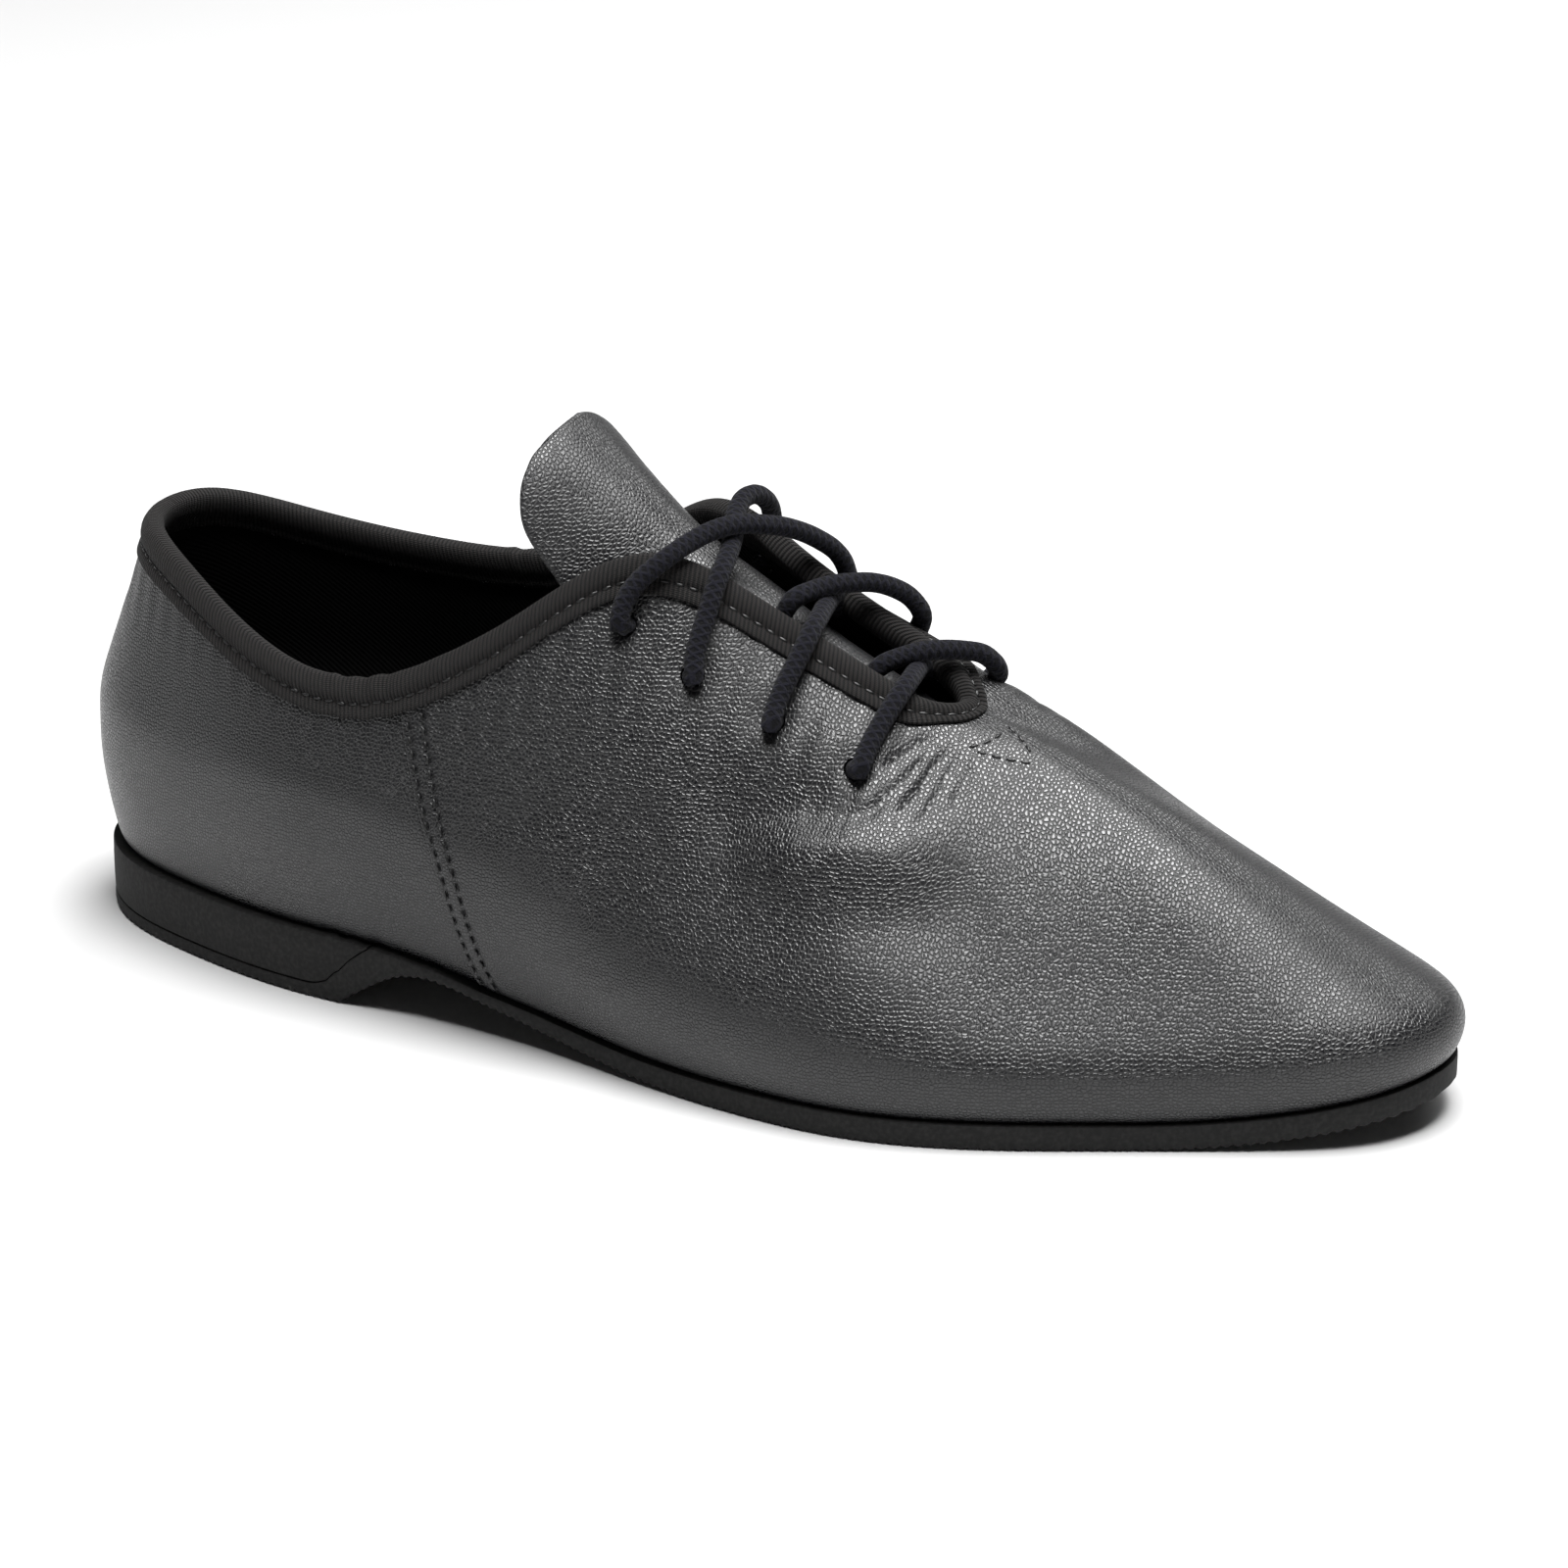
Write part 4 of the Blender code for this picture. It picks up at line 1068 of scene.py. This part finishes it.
@dataclass
class Binding:
    """Ribbed tape folded over the rim and stitched down, all round the collar and lace edges."""

    columns: int = 760
    width: float = 0.0064
    groove: float = 0.0039
    narrow_front: float = 0.42
    crest_row: int = 9
    depth_share: float = 0.35

    def profile(self, lap: float) -> Array:
        """Section of the folded tape.

        Args:
            lap: Height of the lapped front under it.

        Returns:
            Rows of length down from the rim, lift off the outer face, and place across the tape.
        """
        mm = 0.001
        out = (lap + 0.0001) / mm
        back = -LAST.wall / mm - 0.15
        low = self.width / mm
        stitch = self.groove / mm
        rows = (
            (low - 0.2, out - 0.05), (low, out + 0.12), (low + 0.02, out + 0.42),
            (low - 0.2, out + 0.60), (low - 0.8, out + 0.62),
            (stitch + 0.8, out + 0.56), (stitch + 0.4, out + 0.42), (stitch, out + 0.22),
            (stitch - 0.35, out + 0.48), (stitch - 0.8, out + 0.78), (stitch - 1.4, out + 0.96),
            (stitch - 2.1, out + 1.04), (stitch - 2.8, out + 1.00), (stitch - 3.4, out + 0.84),
            (-0.1, out + 0.60), (-0.65, out + 0.18), (-0.85, 0.5 * (out + back)), (-0.65, back - 0.12),
            (-0.1, back - 0.5), (0.8, back - 0.74), (1.9, back - 0.8), (3.0, back - 0.7), (3.7, back - 0.42),
            (4.1, back - 0.26), (4.9, back - 0.42), (5.7, back - 0.36), (5.9, back - 0.05),
            (5.4, back + 0.1),
            (2.8, back + 0.1), (0.2, back + 0.1), (0.2, out), (2.8, out - 0.05), (low - 0.2, out - 0.05),
        )
        flat = np.array(rows) * mm
        across = way_along(flat)
        return np.column_stack((flat, across))

    def band(self, u: Array, rows: Array) -> Array:
        """Points of the tape.

        Args:
            u: Shares of the way round.
            rows: For each u, the rows' lengths down from the rim and lifts.

        Returns:
            One point for each row of each u.
        """
        v = 1.0 - np.linspace(0.0, 1.0, 61) * self.depth_share
        track = LAST.skin(u[:, None], v)
        steps = np.linalg.norm(np.diff(track, axis=1), axis=2)
        length = np.concatenate((np.zeros((len(u), 1)), np.cumsum(steps, axis=1)), axis=1)
        down = np.maximum(rows[..., 0], 0.0)
        v_here = np.stack([np.interp(down[i], length[i], v) for i in range(len(u))])
        past = (track[:, 0] - track[:, 1]) / steps[:, :1]
        over = np.maximum(-rows[..., 0], 0.0)[..., None] * past[:, None]
        return LAST.skin(u[:, None], v_here) + over + LAST.normal(u[:, None], v_here) * rows[..., 1:2]

    def narrowing(self, u: Array) -> Array:
        """What the tape's width is multiplied by at u, less at the front of the lace edges."""
        share = LAST.rim_line(u)[..., 0] / LAST.length
        return 1.0 - self.narrow_front * soft_step(share, 0.622, 0.652)

    def stations(self) -> Array:
        """Places round the rim, nearly even along it.

        Returns:
            Their shares of the way round the foot.
        """
        u = np.linspace(0.0, 1.0, 4001)
        rim = LAST.rim_line(u)
        way = way_along(rim)
        turn = np.linspace(0.0, 1.0, self.columns + 1)
        return np.interp(turn, 0.7 * way / way[-1] + 0.3 * u, u)

    def build(self, tape: Finish) -> Piece:
        """Make the binding.

        Args:
            tape: Finish of the tape.

        Returns:
            The piece.
        """
        places = self.stations()
        past_outer, before_inner = (
            soft_step(places, seam[1] - 0.003, seam[1] + 0.003) for seam in LAST.seams.values())
        lap = LAST.seam_step * past_outer * (1.0 - before_inner)
        rows = np.stack([self.profile(float(height)) for height in lap])
        narrow = np.where(rows[..., 0] > 0.0, self.narrowing(places)[:, None], 1.0)
        rows[..., 0] *= narrow
        rings = self.band(places, rows)
        way = way_along(rings[:, self.crest_row])
        marks = np.stack((np.broadcast_to(way[:, None], rows.shape[:2]), rows[..., 2]), axis=-1)
        thing = grid_mesh("rim_binding", rings, marks, sharp_deg=75.0)
        return dress(thing, Slot.TAPE, (tape,), "binding")


@dataclass
class Tongue:
    """Leather tongue under the lace, with its rounded tip free above the collar."""

    middle: float = 0.0015
    thickness: float = 0.0014
    tip_length: float = 0.0085
    tip_half: float = 0.219
    tip_power: float = 2.4
    wave: float = 0.00022
    wave_pitch: float = 0.031
    stations: int = 150
    across: int = 44

    def __post_init__(self) -> None:
        """Read the table."""
        self.line = {name: np.array(row) for name, row in zip(TONGUE_COLUMNS, zip(*TONGUE))}

    def row(self, column: str, x: float) -> float:
        """Value of a column of TONGUE at x from the heel."""
        return float(calm_curve(self.line["x"] * LAST.length, self.line[column], np.asarray(x)))

    def height(self, x: float) -> float:
        """Height of the crest at x from the heel."""
        return self.row("crest", x) * LAST.instep_rise + float(LAST.sole_line(x)[2])

    def half_width(self, x: float) -> float:
        """Half width, with the free tip rounded like a thumb.

        Args:
            x: Distance from the back of the heel.

        Returns:
            Half the width there.
        """
        start = self.line["x"][0] * LAST.length
        left = 1.0 - float(np.clip((x - start) / self.tip_length, 0.0, 1.0))
        half = max(self.row("half", x), self.tip_half if left > 0.0 else 0.0)
        return half * LAST.ball_width * max(1.0 - left**self.tip_power, 1e-4) ** (1.0 / self.tip_power)

    def on(self, x: float, across: Array, lift: Array | float) -> Array:
        """Points of the tongue.

        Args:
            x: Distance from the back of the heel.
            across: Shares of the half width, from -1 to 1.
            lift: Heights over the upper face.

        Returns:
            The points.
        """
        across = np.atleast_1d(np.asarray(across, float))
        ends = self.line["x"][[0, -1]] * LAST.length
        ahead, behind = min(x + 0.0008, ends[1]), max(x - 0.0008, ends[0])
        slope = (self.height(ahead) - self.height(behind)) / (ahead - behind)
        normal = np.array((-slope, 0.0, 1.0)) / math.hypot(slope, 1.0)
        half = self.half_width(x)
        drop = self.row("arch", x) * half
        crest = np.array((x, self.middle, self.height(max(x, ends[0])))) + LAST.middle
        face = crest + np.outer(across * half, (0.0, 1.0, 0.0)) - np.outer(drop * across**2, normal)
        tilt = 2.0 * drop * across / half
        way = unit(normal[None] + np.outer(tilt, (0.0, 1.0, 0.0)))
        return face + way * np.broadcast_to(np.asarray(lift, float), across.shape)[:, None]

    def build(self, leather: Finish, lining: Finish) -> Piece:
        """Make the tongue.

        Args:
            leather: Finish of its upper face.
            lining: Finish of its lower face.

        Returns:
            The piece.
        """
        table = self.line["x"] * LAST.length
        closer_at_tip = np.linspace(0.0, 1.0, self.stations) ** 1.8
        xs = np.interp(closer_at_tip, np.linspace(0.0, 1.0, len(table)), table)
        turn = np.linspace(-0.5 * math.pi, 0.5 * math.pi, self.across)
        across = np.sin(turn)
        edge = np.array((0.25, 0.55, 0.80, 0.95))
        top_lift = np.concatenate((edge, np.ones(self.across - 8), edge[::-1])) * 0.5 - 0.5
        rings = []
        for x in xs:
            tip = float(soft_step(x, table[0] - 0.0002, table[0] + 0.0006))
            wave = self.wave * np.sin(x * 2.0 * math.pi / self.wave_pitch + across * 1.7)
            thick = self.thickness * (0.5 + 0.5 * tip)
            lift = top_lift * thick + wave
            under = -thick - top_lift * thick + wave
            top = self.on(float(x), across, lift)
            low = self.on(float(x), across[::-1], under[::-1])
            rings.append(np.concatenate((top, low, top[:1])))
        thing = grid_mesh(
            "tongue_leather", np.array(rings), bands=(self.across - 1,), closed=True, sharp_deg=70.0)
        return dress(thing, Slot.LEATHER, (leather, lining), "tongue")


@dataclass(frozen=True)
class Run:
    """Stretch of the lace that shows: from a hole to the other edge, or to a top hole.

    side and row name the hole that it leaves, edge is the u where it dives under the other
    edge (0 for the two that end in a top hole), and points are in millimetres.
    """

    side: Side
    row: int
    edge: float
    points: tuple[tuple[float, float, float], ...]


RUNS = (
    Run(Side.OUTER, 0, 0.640, (
        (32.2, -17.6, 52.9), (32.4, -15.1, 55.5), (32.8, -12.4, 58.0), (33.3, -9.7, 60.3),
        (33.8, -6.7, 62.4),
        (33.7, -3.3, 63.5), (32.9, 0.3, 63.6), (32.0, 3.8, 63.5), (31.0, 7.4, 63.2),
    )),
    Run(Side.OUTER, 1, 0.690, (
        (16.6, -18.3, 58.2), (16.5, -16.0, 61.1), (16.9, -13.7, 63.9), (17.4, -11.2, 66.6),
        (17.9, -8.7, 69.3),
        (17.8, -5.7, 71.2), (17.0, -2.1, 71.8), (16.0, 1.5, 72.1), (15.1, 5.0, 72.3), (14.3, 8.6, 72.4),
    )),
    Run(Side.OUTER, 2, 0.000, (
        (2.8, -18.8, 64.0), (2.2, -17.3, 67.2), (2.2, -15.4, 70.3), (2.3, -13.4, 73.2),
        (2.4, -11.4, 76.2),
        (2.3, -8.9, 78.7), (1.7, -5.7, 80.2), (0.8, -2.5, 81.3), (-0.4, 0.7, 82.4), (-1.8, 3.7, 83.7),
        (-3.0, 6.9, 84.8), (-3.5, 10.3, 85.7), (-3.1, 13.8, 85.5), (-2.6, 16.7, 83.6), (-2.9, 18.9, 80.8),
    )),
    Run(Side.INNER, 0, 0.330, (
        (40.3, 16.9, 59.9), (40.9, 14.6, 62.5), (39.5, 12.4, 64.8), (37.0, 10.0, 65.7), (34.6, 7.4, 66.2),
        (32.2, 4.7, 66.3), (29.7, 2.2, 65.7), (27.4, -0.3, 64.6),
    )),
    Run(Side.INNER, 1, 0.291, (
        (26.6, 16.2, 68.4), (25.1, 14.9, 71.5), (22.9, 12.8, 73.5), (20.4, 10.3, 74.7), (18.0, 7.5, 75.1),
        (15.7, 4.6, 75.2), (13.6, 1.6, 74.7), (11.8, -1.4, 73.8),
    )),
    Run(Side.INNER, 2, 0.000, (
        (12.2, 16.5, 74.5), (11.2, 14.7, 77.6), (9.4, 12.3, 79.9), (7.6, 9.7, 81.7), (5.7, 6.8, 83.1),
        (3.7, 3.8, 84.0), (1.8, 0.7, 84.7), (-0.2, -2.5, 84.8), (-2.0, -5.6, 84.2), (-3.7, -8.8, 83.1),
        (-5.2, -11.9, 81.8), (-7.0, -14.6, 80.0), (-8.9, -16.8, 77.7), (-10.2, -18.6, 74.7),
        (-10.4, -19.6, 71.1),
    )),
)


@dataclass
class Lace:
    """One round lace run through the eight holes from its hidden bar to the top ones."""

    upper: Upper
    diameter: float = 0.0033
    squeezed: float = 0.34
    sides: int = 16
    step: float = 0.0007

    def hole(self, side: Side, row: int) -> tuple[float, float]:
        """Place of a hole on one side."""
        return (self.upper.near_holes if side is Side.OUTER else self.upper.far_holes)[row]

    def stretch(self, run: Run) -> list[tuple[Array, float]]:
        """Points of one run and of the hidden way to the next hole.

        Args:
            run: The run.

        Returns:
            Points, each with its share of the full height.
        """
        start = self.hole(run.side, run.row)
        other = Side.INNER if run.side is Side.OUTER else Side.OUTER
        u, v = self.hole(other, run.row + 1)
        shown = [(np.array(point) * 0.001, 1.0) for point in run.points]
        route = [(LAST.on(*start, -0.0030), self.squeezed), (LAST.on(*start, 0.0004), 0.9), *shown]
        if not run.edge:
            return [*route, (LAST.on(u, v, 0.0006), 0.9), (LAST.on(u, v, -0.0034), self.squeezed)]
        lay = -LAST.wall - self.diameter * self.squeezed * 0.5
        middle = 0.5 * (u + run.edge)
        return [*route, (LAST.on(run.edge, 1.0, lay - 0.0008), 0.5),
                (LAST.on(middle, 0.5 + 0.5 * v, lay), self.squeezed)]

    def build(self, cotton: Finish) -> Piece:
        """Make the lace.

        Args:
            cotton: Finish of the lace.

        Returns:
            The piece.
        """
        low, middle, top, low_far, middle_far, top_far = (self.stretch(run) for run in RUNS)
        lay = -LAST.wall - self.diameter * self.squeezed * 0.5
        bar = [(LAST.on(u, v, lay), self.squeezed)
               for u, v in ((0.35, 0.91), (0.40, 0.93), (0.5, 0.94), (0.58, 0.93), (0.62, 0.92))]
        from_near = [*low, *middle_far, *top]
        route = [*from_near[::-1], *bar, *low_far, *middle, *top_far]
        points = np.array([point for point, _ in route])
        path = even_path(points, self.step)
        nearest = np.array([int(np.argmin(np.linalg.norm(path - point, axis=1))) for point in points])
        order = np.argsort(nearest, kind="stable")
        shares = np.array([share for _, share in route])
        press = np.interp(np.arange(len(path)), nearest[order], shares[order])
        level = np.ones(len(path))
        face = unit(np.column_stack((0.25 * level, path[:, 1] * 40.0 - 0.12, level)))
        half = np.full(len(path), self.diameter / 2.0)
        thing = tube("cotton_lace", path, half * (2.0 - press) ** 0.5, half * press, face, self.sides)
        return dress(thing, Slot.CORD, (cotton,), "lace_crossing_1", "lace_crossing_2", "lace_crossing_3")


@dataclass
class Sole:
    """Rubber sheet with fine cross ribs underneath, the heel block on it, and the inner board."""

    ledge: float = 0.0015
    tooth_pitch: float = 0.0017
    tooth_depth: float = 0.00042
    insole_thickness: float = 0.0015
    glue_line: float = 0.00012
    block_end: float = 0.2848
    stations: int = 620

    def spread(self, first: float, last: float, count: int) -> Array:
        """Stations from first to last, closer together near both ends."""
        even = np.linspace(0.0, 1.0, count)
        return first + (last - first) * (0.75 * even + 0.25 * 0.5 * (1.0 - np.cos(math.pi * even)))

    def slab(self, name: str, grow: float, first: float, last: float, faces: object, edge: float,
             count: int, bulge: float = 0.0) -> Piece:
        """Sole-shaped layer.

        Args:
            name: Name of the piece.
            grow: How far it stands outside the foot line.
            first: Where it starts, from the heel.
            last: Where it ends.
            faces: Function of x that gives the heights of its two faces.
            edge: Radius of its edges.
            count: Number of stations.
            bulge: How far its side swells out.

        Returns:
            The object.
        """
        outer, inner = LAST.outline(grow)
        first = max(first, outer[0, 0] + 0.00002)
        last = min(last, outer[-1, 0] - 0.00002)
        tips = np.array((0.0, 0.00006, 0.0002, 0.0005, 0.001, 0.0018))
        xs = np.unique(np.concatenate((first + tips, self.spread(first, last, count), last - tips)))
        rings = []
        for x in xs:
            y_out = float(np.interp(x, outer[:, 0], outer[:, 1]))
            y_in = float(np.interp(x, inner[:, 0], inner[:, 1]))
            low, high = faces(float(x))
            r = min(edge, 0.3 * (high - low), 0.3 * (y_in - y_out))
            swell = min(bulge, 0.2 * (y_in - y_out))
            side = [(0.0, low + r), (-swell, 0.65 * low + 0.35 * high), (-swell, 0.35 * low + 0.65 * high),
                    (0.0, high - r), (r * 0.3, high - r * 0.3), (r, high)]
            cross = np.linspace(0.12, 0.88, 9)
            ring = [(x, y_out + a, z) for a, z in side]
            ring += [(x, y_out + (y_in - y_out) * c, high) for c in cross]
            ring += [(x, y_in - a, z) for a, z in side[::-1]]
            ring += [(x, y_in - r * 0.3, low + r * 0.3), (x, y_in - r, low)]
            ring += [(x, y_in + (y_out - y_in) * c, low) for c in cross]
            ring += [(x, y_out + r, low), (x, y_out + r * 0.3, low + r * 0.3)]
            rings.append([*ring, ring[0]])
        return grid_mesh(name, np.array(rings) + LAST.middle, closed=True, sharp_deg=42.0)

    def tooth(self, x: float) -> float:
        """Depth of the cross ribs at x, cut up into the sheet from below."""
        wave = 0.5 - 0.5 * math.cos(2.0 * math.pi * x / self.tooth_pitch)
        return self.tooth_depth * wave**1.5

    def build(self, rubber: Finish, lining: Finish) -> None:
        """Make the sheet, the heel block and the board.

        Args:
            rubber: Finish of the sheet and the heel.
            lining: Finish of the board.
        """
        def sheet(x: float) -> tuple[float, float]:
            under, top, _ = LAST.sole_line(x)
            return float(under) + self.tooth(x), float(top)

        def block(x: float) -> tuple[float, float]:
            _, top, seat = LAST.sole_line(x)
            return float(top) + self.glue_line, float(seat)

        def board(x: float) -> tuple[float, float]:
            seat = float(LAST.sole_line(x)[2])
            return seat + LAST.fit_gap, seat + LAST.fit_gap + self.insole_thickness

        heel_end = self.block_end * LAST.length
        dress(self.slab("rubber_sheet", self.ledge, 0.0, 1.0, sheet, 0.0003, self.stations, 0.0001),
              Slot.RUBBER, (rubber,), "outsole")
        dress(self.slab("heel_block", self.ledge, 0.0, heel_end, block, 0.0004, 160, 0.0001),
              Slot.RUBBER, (rubber,), "heel")
        dress(self.slab("inner_board", -(LAST.wall + 0.0006), 0.0, 1.0, board, 0.0005, 180),
              Slot.LINING, (lining,), "insole")


@dataclass
class Stitching:
    """Rows of sewn thread: side seams, binding and the triangle in front of the laces."""

    length: float = 0.0017
    pitch: float = 0.0024
    thickness: float = 0.00056
    seam_rows: tuple[float, float] = (0.0013, 0.0042)
    triangle: tuple[tuple[float, float], ...] = (
        (0.4030, 0.9500), (0.5030, 0.9690), (0.4660, 0.9270), (0.4030, 0.9500))

    def sew(self, work: bmesh.types.BMesh, line: Array, normals: Array) -> None:
        """Lay stitches along a line.

        Args:
            work: Mesh to add them to.
            line: Points of the line, close together.
            normals: Directions away from the leather.
        """
        way = way_along(line)
        for start in np.arange(self.pitch * 0.5, way[-1] - self.pitch * 0.4, self.pitch):
            ends = [np.array([np.interp(at, way, line[:, k]) for k in range(3)])
                    for at in (start - self.length / 2, start + self.length / 2)]
            middle = 0.5 * (ends[0] + ends[1])
            normal = normals[int(np.clip(np.searchsorted(way, start), 0, len(line) - 1))]
            ahead = unit(ends[1] - ends[0])
            side = unit(np.cross(normal, ahead))
            top = np.cross(ahead, side)
            turn = Matrix(np.column_stack((ahead * self.length / 2, side * self.thickness / 2,
                                           top * self.thickness * 0.4)).tolist()).to_4x4()
            bmesh.ops.create_uvsphere(
                work, u_segments=8, v_segments=6, radius=1.0,
                matrix=Matrix.Translation(Vector(middle + normal * self.thickness * 0.12)) @ turn)

    def row(self, work: bmesh.types.BMesh, u: Array, v: Array, lift: float) -> None:
        """Lay stitches along places on the upper, lifted off its smooth face."""
        self.sew(work, LAST.on(u, v, lift), LAST.normal(u, v))

    def build(self, binding: Binding, thread: Finish) -> Piece:
        """Make all stitches.

        Args:
            binding: The tape that one row holds down.
            thread: Finish of the thread.

        Returns:
            The piece.
        """
        work = bmesh.new()
        v = np.linspace(0.015, 0.93, 200)
        for side, sign in ((Side.OUTER, 1.0), (Side.INNER, -1.0)):
            seam = LAST.seam_u(side, v)
            across = LAST.skin(seam + 0.001, v) - LAST.skin(seam - 0.001, v)
            metre = np.linalg.norm(across, axis=-1) / 0.002
            for inset in self.seam_rows:
                self.row(work, seam + sign * inset / metre, v, LAST.seam_step)
        turn = np.linspace(0.0, 1.0, 1600)
        lap = LAST.lap(turn, np.ones_like(turn))
        rows = np.stack((binding.groove * binding.narrowing(turn), lap + 0.00040), axis=-1)[:, None]
        places = binding.band(turn, rows)[:, 0]
        self.sew(work, places, LAST.normal(turn, 0.93))
        for start, end in zip(self.triangle, self.triangle[1:]):
            share = np.linspace(0.02, 0.98, 60)
            u = start[0] + (end[0] - start[0]) * share
            height = start[1] + (end[1] - start[1]) * share
            self.row(work, u, height, LAST.seam_step)
        mesh = to_mesh("thread", work)
        mesh.shade_smooth()
        return dress(add_object("thread", mesh), Slot.CORD, (thread,))


@dataclass
class Studio:
    """White floor, one broad light overhead, weak fill, and the camera."""

    azimuth: float = 28.0
    elevation: float = 20.5
    distance: float = 0.850
    target: tuple[float, float, float] = (0.00482, 0.00148, 0.035)
    pixels_per_metre: float = 6123.0
    centre: tuple[float, float] = (779.23, 826.746)
    image: float = 1600.0

    def floor(self) -> None:
        """Lay the white floor."""
        work = bmesh.new()
        bmesh.ops.create_grid(work, x_segments=8, y_segments=8, size=6.0)
        plane = add_object("studio_floor", to_mesh("studio_floor", work))
        material, _, shader = start_material("white_paper_sweep", 0.9, 0.1)
        shader.inputs["Base Color"].default_value = linear("D8D8D8")
        plane.data.materials.append(material)

    def light(self, name: str, place: tuple[float, float, float], size: tuple[float, float],
              power: float) -> None:
        """Hang an area light that looks at the shoe.

        Args:
            name: Name of the light.
            place: Where it hangs.
            size: Its two sides.
            power: Its power in watts.
        """
        data = bpy.data.lights.new(name, "AREA")
        data.shape = "RECTANGLE"
        data.size, data.size_y = size
        data.energy = power
        lamp = add_object(name, data)
        lamp.location = place
        lamp.rotation_euler = (-Vector(place)).to_track_quat("-Z", "Y").to_euler()

    def surroundings(self) -> None:
        """Dim room round the white floor, plain white where the camera sees it."""
        world = bpy.data.worlds.new("studio_room")
        bpy.context.scene.world = world
        world.use_nodes = True
        tree = world.node_tree
        shader = tree.nodes["Background"]
        sight = add_node(tree, "LightPath").outputs["Is Camera Ray"]
        place = add_node(tree, "TexCoord").outputs["Generated"]
        parts = add_node(tree, "SeparateXYZ", {"Vector": place})
        rise = add_node(tree, "MapRange", {0: parts.outputs["Z"], 1: 0.0, 2: 0.36, 3: 0.40, 4: 0.02}, **SOFT)
        wall = add_node(tree, "MapRange", {0: parts.outputs["Z"], 1: 0.0, 2: 0.22, 3: 0.3, 4: 1.0}, **SOFT)
        plain = add_node(tree, "Math", {0: wall, 1: sight}, operation="MULTIPLY")
        seen = add_node(tree, "Math", {0: rise, 1: plain}, operation="MAXIMUM")
        tree.links.new(seen.outputs[0], shader.inputs["Strength"])
        shader.inputs["Color"].default_value = (1.0, 1.0, 1.0, 1.0)

    def camera(self) -> None:
        """Put the camera at the photographed angle."""
        turn, rise = math.radians(self.azimuth), math.radians(self.elevation)
        back = Vector((math.sin(turn) * math.cos(rise), -math.cos(turn) * math.cos(rise), math.sin(rise)))
        data = bpy.data.cameras.new("studio_camera")
        data.sensor_width = 36.0
        data.lens = 36.0 * self.distance * self.pixels_per_metre / self.image
        data.shift_x = -(self.centre[0] - self.image / 2.0) / self.image
        data.shift_y = (self.centre[1] - self.image / 2.0) / self.image
        data.clip_start, data.clip_end = 0.01, 50.0
        camera = add_object("studio_camera", data)
        camera.location = Vector(self.target) + back * self.distance
        camera.rotation_euler = (-back).to_track_quat("-Z", "Y").to_euler()
        bpy.context.scene.camera = camera

    def build(self) -> None:
        """Set up floor, lights, room, camera and plain colours."""
        self.camera()
        self.floor()
        self.surroundings()
        self.light("overhead_box", (0.22, -0.04, 1.75), (1.25, 1.0), 64.0)
        self.light("back_box", (0.1, 1.7, 1.3), (1.8, 0.8), 12.0)
        view = bpy.context.scene.view_settings
        view.view_transform = "Standard"
        view.look = "None"


def main() -> None:
    """Build the shoe and its studio, and log how many triangles each piece has."""
    logging.basicConfig(level=logging.INFO, format="%(message)s")
    Studio().build()
    leather = GrainLeather().build()
    lining = LiningCloth().build()
    tape = RibbedTape().build()
    cotton = CottonCord().build()
    rubber = SoleRubber().build()
    thread = SewingThread().build()
    upper, binding, tongue = Upper(), Binding(), Tongue()
    Sole().build(rubber, lining)
    upper.build(leather, lining)
    binding.build(tape)
    tongue.build(leather, lining)
    Lace(upper).build(cotton)
    Stitching().build(binding, thread)


if __name__ == "__main__":
    main()
